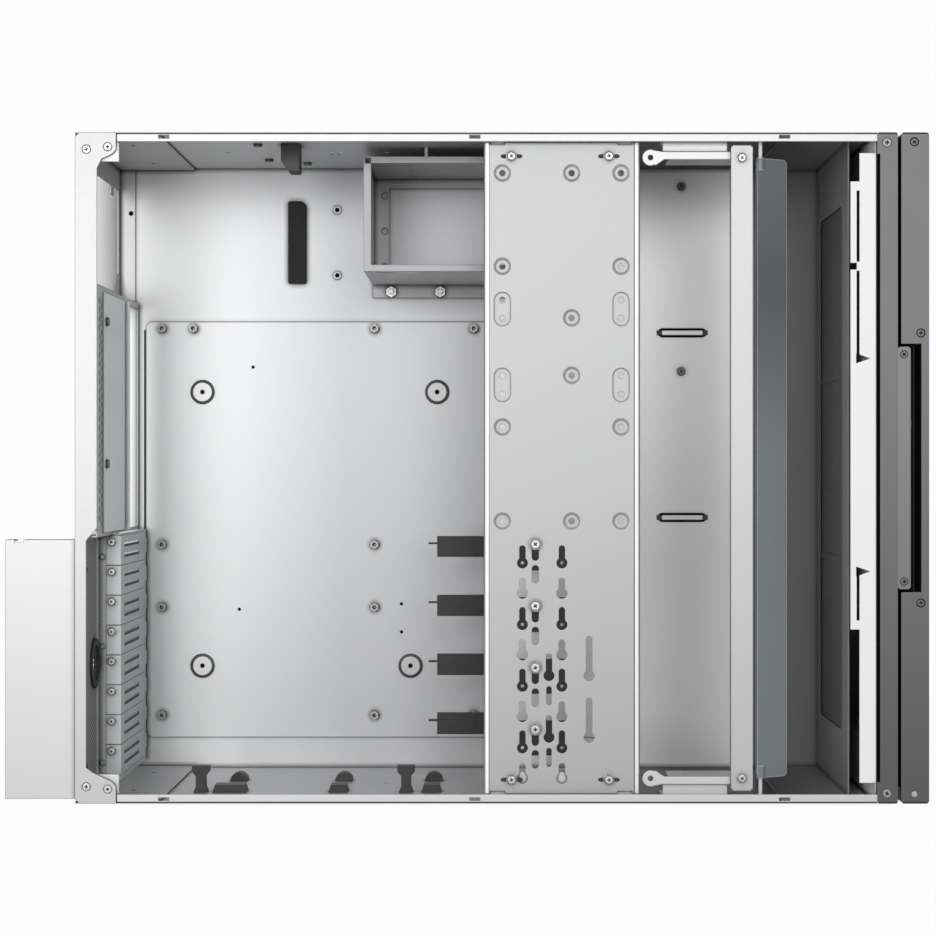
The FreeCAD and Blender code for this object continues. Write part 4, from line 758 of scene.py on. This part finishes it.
class CASE_OT_fasteners(bpy.types.Operator):
    """Finish the standoffs, rivets and pins, and put a turned head on every screw"""
    bl_idname = "case.fasteners"
    bl_label = "Fasteners"

    def execute(self, context):
        settings = context.scene.case_detail
        plated = plated_steel("plated_steel", (0.80, 0.79, 0.76), DARK_GRIME_AND_SHADE)
        dark = plated_steel("dark_steel", (0.17, 0.17, 0.175), (0.012, 0.012, 0.012), 0.35)
        dull = plated_steel("dull_steel", (0.42, 0.42, 0.425), DARK_GRIME_AND_SHADE, 0.4)
        for node in ("cage_nuts", "usb_sockets", "door_hinge_pins"):
            paint(node, plated)
        for node in ("board_standoffs", "slot_frame_rivets"):
            paint(node, dull)
        paint("panel_screws", dark)
        for node, washer in (("slot_cover_screws", 0.25), ("bracket_screws", 0.2), ("rear_flange_screws", 0.0)):
            turned_heads(node + "_turned", node, settings, plated, washer)
        turned_heads("front_frame_screws_turned", "front_frame_screws", settings, dull)
        for node in ("door_screws", "control_bar_screws"):
            turned_heads(node + "_turned", node, settings, dark)
        for number in range(1, HOLDER_COUNT + 1):
            node = "holder_thumbscrew_%d" % number
            turned_heads(node + "_turned", node, settings, plated, 0.2)
        return {"FINISHED"}


class CASE_OT_vents(bpy.types.Operator):
    """Mark the fine vents over the slots, the long vents of the covers and the bridge's screw slots with dark
    pieces of painted shade
    """
    bl_idname = "case.vents"
    bl_label = "Fine vents"

    def execute(self, context):
        settings = context.scene.case_detail
        dark = moulded_plastic("vent_dark", (0.05, 0.05, 0.05), 0.9)
        low, _ = node_box("slot_frame")
        _, panel_high = node_box("rear_panel")
        x_wall = low.x + 0.0011
        field_height, field_end = 0.044, -0.048
        row_step = settings.vent_pitch * 0.87
        work = bmesh.new()
        # Dark discs of painted shade stand for the fine holes in the wall over the slots.
        for row in range(int(field_height / row_step)):
            z = panel_high.z - 0.006 - row * row_step
            y = low.y + 0.004 + settings.vent_pitch / 2 * (row % 2)
            while y < field_end:
                turn = Matrix.Translation((x_wall, y, z)) @ Matrix.Rotation(math.pi / 2, 4, "Y")
                bmesh.ops.create_circle(work, cap_ends=True, segments=8, radius=settings.vent_hole / 2,
                                        matrix=turn)
                y += settings.vent_pitch
        mesh_shade = moulded_plastic("mesh_shade", (0.13, 0.133, 0.13), 0.9)
        new_piece("slot_wall_vents", work, mesh_shade, "case")
        self.shade_covers(settings, moulded_plastic("vent_shade", (0.15, 0.158, 0.16), 0.8))
        self.screw_slots(dark)
        return {"FINISHED"}

    def shade_covers(self, settings, dark):
        """Thin strips of painted shade inside the two long vents of every slot cover."""
        strip_thick, strip_depth, strip_shift = 0.0004, 0.0005, 0.0006
        work = bmesh.new()
        size = Matrix.Diagonal((strip_thick, settings.slot_vent_width, settings.slot_vent_length, 1))
        for number in range(1, SLOT_COUNT + 1):
            low, high = node_box("slot_cover_%d" % number)
            for side in (-1, 1):
                y = (low.y + high.y) / 2 + side * settings.slot_vent_place - strip_shift
                middle = Vector((high.x - strip_depth, y, settings.slot_vent_height))
                bmesh.ops.create_cube(work, size=1.0, matrix=Matrix.Translation(middle) @ size)
        new_piece("slot_cover_vent_strips", work, dark, "case")

    def screw_slots(self, dark):
        """Dark ovals of painted shade at the ends of the slotted holes beside the bridge's screws."""
        reach, lift, radius = 0.0048, 0.00005, 0.0019
        oval = Matrix.Diagonal((1.25, 0.72, 1, 1))
        low, high = node_box("bridge_plate")
        work = bmesh.new()
        for start, end in islands("bracket_screws"):
            middle = (start + end) / 2
            if low.x < middle.x < high.x:
                for side in (-1, 1):
                    place = Matrix.Translation((middle.x + side * reach, middle.y, high.z + lift))
                    bmesh.ops.create_circle(work, cap_ends=True, segments=20, radius=radius,
                                            matrix=place @ oval)
        new_piece("bridge_screw_slots", work, dark, "case")


class CASE_OT_foam_pad(bpy.types.Operator):
    """Model the foam pad under the power supply"""
    bl_idname = "case.foam_pad"
    bl_label = "Foam pad"

    def execute(self, context):
        settings = context.scene.case_detail
        foam = foam_rubber("black_foam", (0.02, 0.0205, 0.0205))
        work = bmesh.new()
        work.from_mesh(frame["nodes"]["psu_foam_pad"].data)
        bmesh.ops.remove_doubles(work, verts=work.verts, dist=1e-6)
        bmesh.ops.dissolve_limit(work, angle_limit=0.01, verts=work.verts, edges=work.edges)
        half_way, tall = 0.003, 0.001
        top = [edge for edge in work.edges if min(vertex.co.z for vertex in edge.verts) > half_way]
        sides = [edge for edge in work.edges if abs(edge.verts[0].co.z - edge.verts[1].co.z) > tall]
        bmesh.ops.bevel(work, geom=top + sides, offset=settings.pad_crown, segments=3, affect="EDGES",
                        profile=0.5, material=-1)
        pad = new_piece("foam_pad_soft", work, foam, "case", ["psu_foam_pad"])
        return {"FINISHED"}


class CASE_OT_door_gauze(bpy.types.Operator):
    """Line the honeycomb sheet of the door with its thin black gauze, which also stands for the shade behind
    the honeycomb
    """
    bl_idname = "case.door_gauze"
    bl_label = "Door gauze"

    def execute(self, context):
        settings = context.scene.case_detail
        gauze = filter_screen("door_gauze_black", (0.012, 0.012, 0.012))
        low, high = node_box("door_grille")
        margin = 0.004
        work = bmesh.new()
        middle = Vector((low.x - settings.gauze * 0.6, (low.y + high.y) / 2, (low.z + high.z) / 2))
        size = Matrix.Diagonal((settings.gauze, high.y - low.y - margin, high.z - low.z - margin, 1))
        bmesh.ops.create_cube(work, size=1.0, matrix=Matrix.Translation(middle) @ size)
        new_piece("door_gauze_sheet", work, gauze, NODE_BODY["door_grille"])
        return {"FINISHED"}


class CASE_OT_stage(bpy.types.Operator):
    """Set up the floor, the lamps, the surroundings and the camera over the case"""
    bl_idname = "case.stage"
    bl_label = "Stage"

    def execute(self, context):
        settings = context.scene.case_stage
        scene = context.scene
        scene.view_settings.view_transform = "Standard"
        self.make_floor(scene, settings)
        self.make_world(scene, settings)
        self.make_lamps(scene, settings)
        self.make_camera(scene, settings)
        return {"FINISHED"}

    def make_floor(self, scene, settings):
        reach, sink = 6.0, 0.0002
        work = bmesh.new()
        bmesh.ops.create_grid(work, x_segments=1, y_segments=1, size=reach)
        mesh = bpy.data.meshes.new("floor_sheet")
        work.to_mesh(mesh)
        work.free()
        floor = bpy.data.objects.new("floor_sheet", mesh)
        scene.collection.objects.link(floor)
        floor.location.z = -sink
        finish = Finish("paper")
        seen = finish.tree.nodes.new("ShaderNodeLightPath").outputs["Is Camera Ray"]
        glow = finish.add("ShaderNodeEmission", {}, {"Color": (1, 1, 1, 1), "Strength": settings.glow})
        rear, front = node_box("rear_panel")[0].x, node_box("control_bar")[0].x
        past_ends = (finish.axis("X") - (rear + front) / 2).maths("ABSOLUTE") - (front - rear) / 2
        past_sides = finish.axis("Y").maths("ABSOLUTE") - CAD_BOX[1].y
        away = past_ends.maths("MAXIMUM", past_sides)
        # Painted shadow: the floor's glow fades out toward the case.
        shadow = away.ramp(0.0, settings.shadow, 1.0, 0.0)
        # Painted shadow: the floor is black under the case.
        finish.set(Base_Color=finish.mix(away < 0.0, tuple(settings.paper), BLACK), Roughness=0.9)
        both = finish.add("ShaderNodeMixShader", {}, {"Fac": Term(finish, seen) * 0.9 * (1.0 - shadow),
                                                      1: finish.shader.outputs["BSDF"], 2: glow})
        finish.tree.links.new(both.socket, finish.output.inputs["Surface"])
        mesh.materials.append(finish.material)

    def make_world(self, scene, settings):
        world = bpy.data.worlds.new("surroundings")
        scene.world = world
        world.use_nodes = True
        back = world.node_tree.nodes["Background"]
        back.inputs["Color"].default_value = (1, 1, 1, 1)
        back.inputs["Strength"].default_value = settings.sky

    def make_lamps(self, scene, settings):
        lamps = (
            ("main_lamp", (-0.66, 0.24, 2.2), 0.8, settings.lamp_power * 1.25),
            ("side_lamp", (0.45, 0.42, 2.1), 0.8, settings.lamp_power * 0.74),
        )
        for name, place, size, power in lamps:
            data = bpy.data.lights.new(name, "AREA")
            data.size = size
            data.energy = power
            lamp = bpy.data.objects.new(name, data)
            scene.collection.objects.link(lamp)
            lamp.location = place
            lamp.rotation_euler = (Vector((0, 0, 0.1)) - Vector(place)).to_track_quat("-Z", "Y").to_euler()

    def make_camera(self, scene, settings):
        low, high = CAD_BOX
        data = bpy.data.cameras.new("camera")
        data.lens = settings.lens
        data.shift_x = settings.shift
        data.clip_end = 20.0
        camera = bpy.data.objects.new("camera", data)
        scene.collection.objects.link(camera)
        camera.location = (settings.camera_forward, 0, high.z + settings.camera_height)
        scene.camera = camera


OPERATORS = (CASE_OT_sheets, CASE_OT_plastics, CASE_OT_fasteners, CASE_OT_vents, CASE_OT_foam_pad,
             CASE_OT_door_gauze, CASE_OT_stage)


class CASE_PT_panel(bpy.types.Panel):
    """Lists the case's settings and the operators that dress it"""
    bl_idname = "CASE_PT_panel"
    bl_label = "Server case"
    bl_space_type = "VIEW_3D"
    bl_region_type = "UI"
    bl_category = "Server case"

    def draw(self, context):
        for name, group in GROUPS.items():
            box = self.layout.box()
            settings = getattr(context.scene, name)
            for field in group.__annotations__:
                box.prop(settings, field)
        for operator in OPERATORS:
            self.layout.operator(operator.bl_idname)


def register():
    for name, group in GROUPS.items():
        bpy.utils.register_class(group)
        setattr(bpy.types.Scene, name, bpy.props.PointerProperty(type=group))
    for operator in OPERATORS:
        bpy.utils.register_class(operator)
    bpy.utils.register_class(CASE_PT_panel)


def unregister():
    bpy.utils.unregister_class(CASE_PT_panel)
    for operator in reversed(OPERATORS):
        bpy.utils.unregister_class(operator)
    for name, group in GROUPS.items():
        delattr(bpy.types.Scene, name)
        bpy.utils.unregister_class(group)


def main():
    register()
    bpy.ops.case.sheets()
    bpy.ops.case.plastics()
    bpy.ops.case.fasteners()
    bpy.ops.case.vents()
    bpy.ops.case.foam_pad()
    bpy.ops.case.door_gauze()
    bpy.ops.case.stage()


if __name__ == "__main__":
    main()
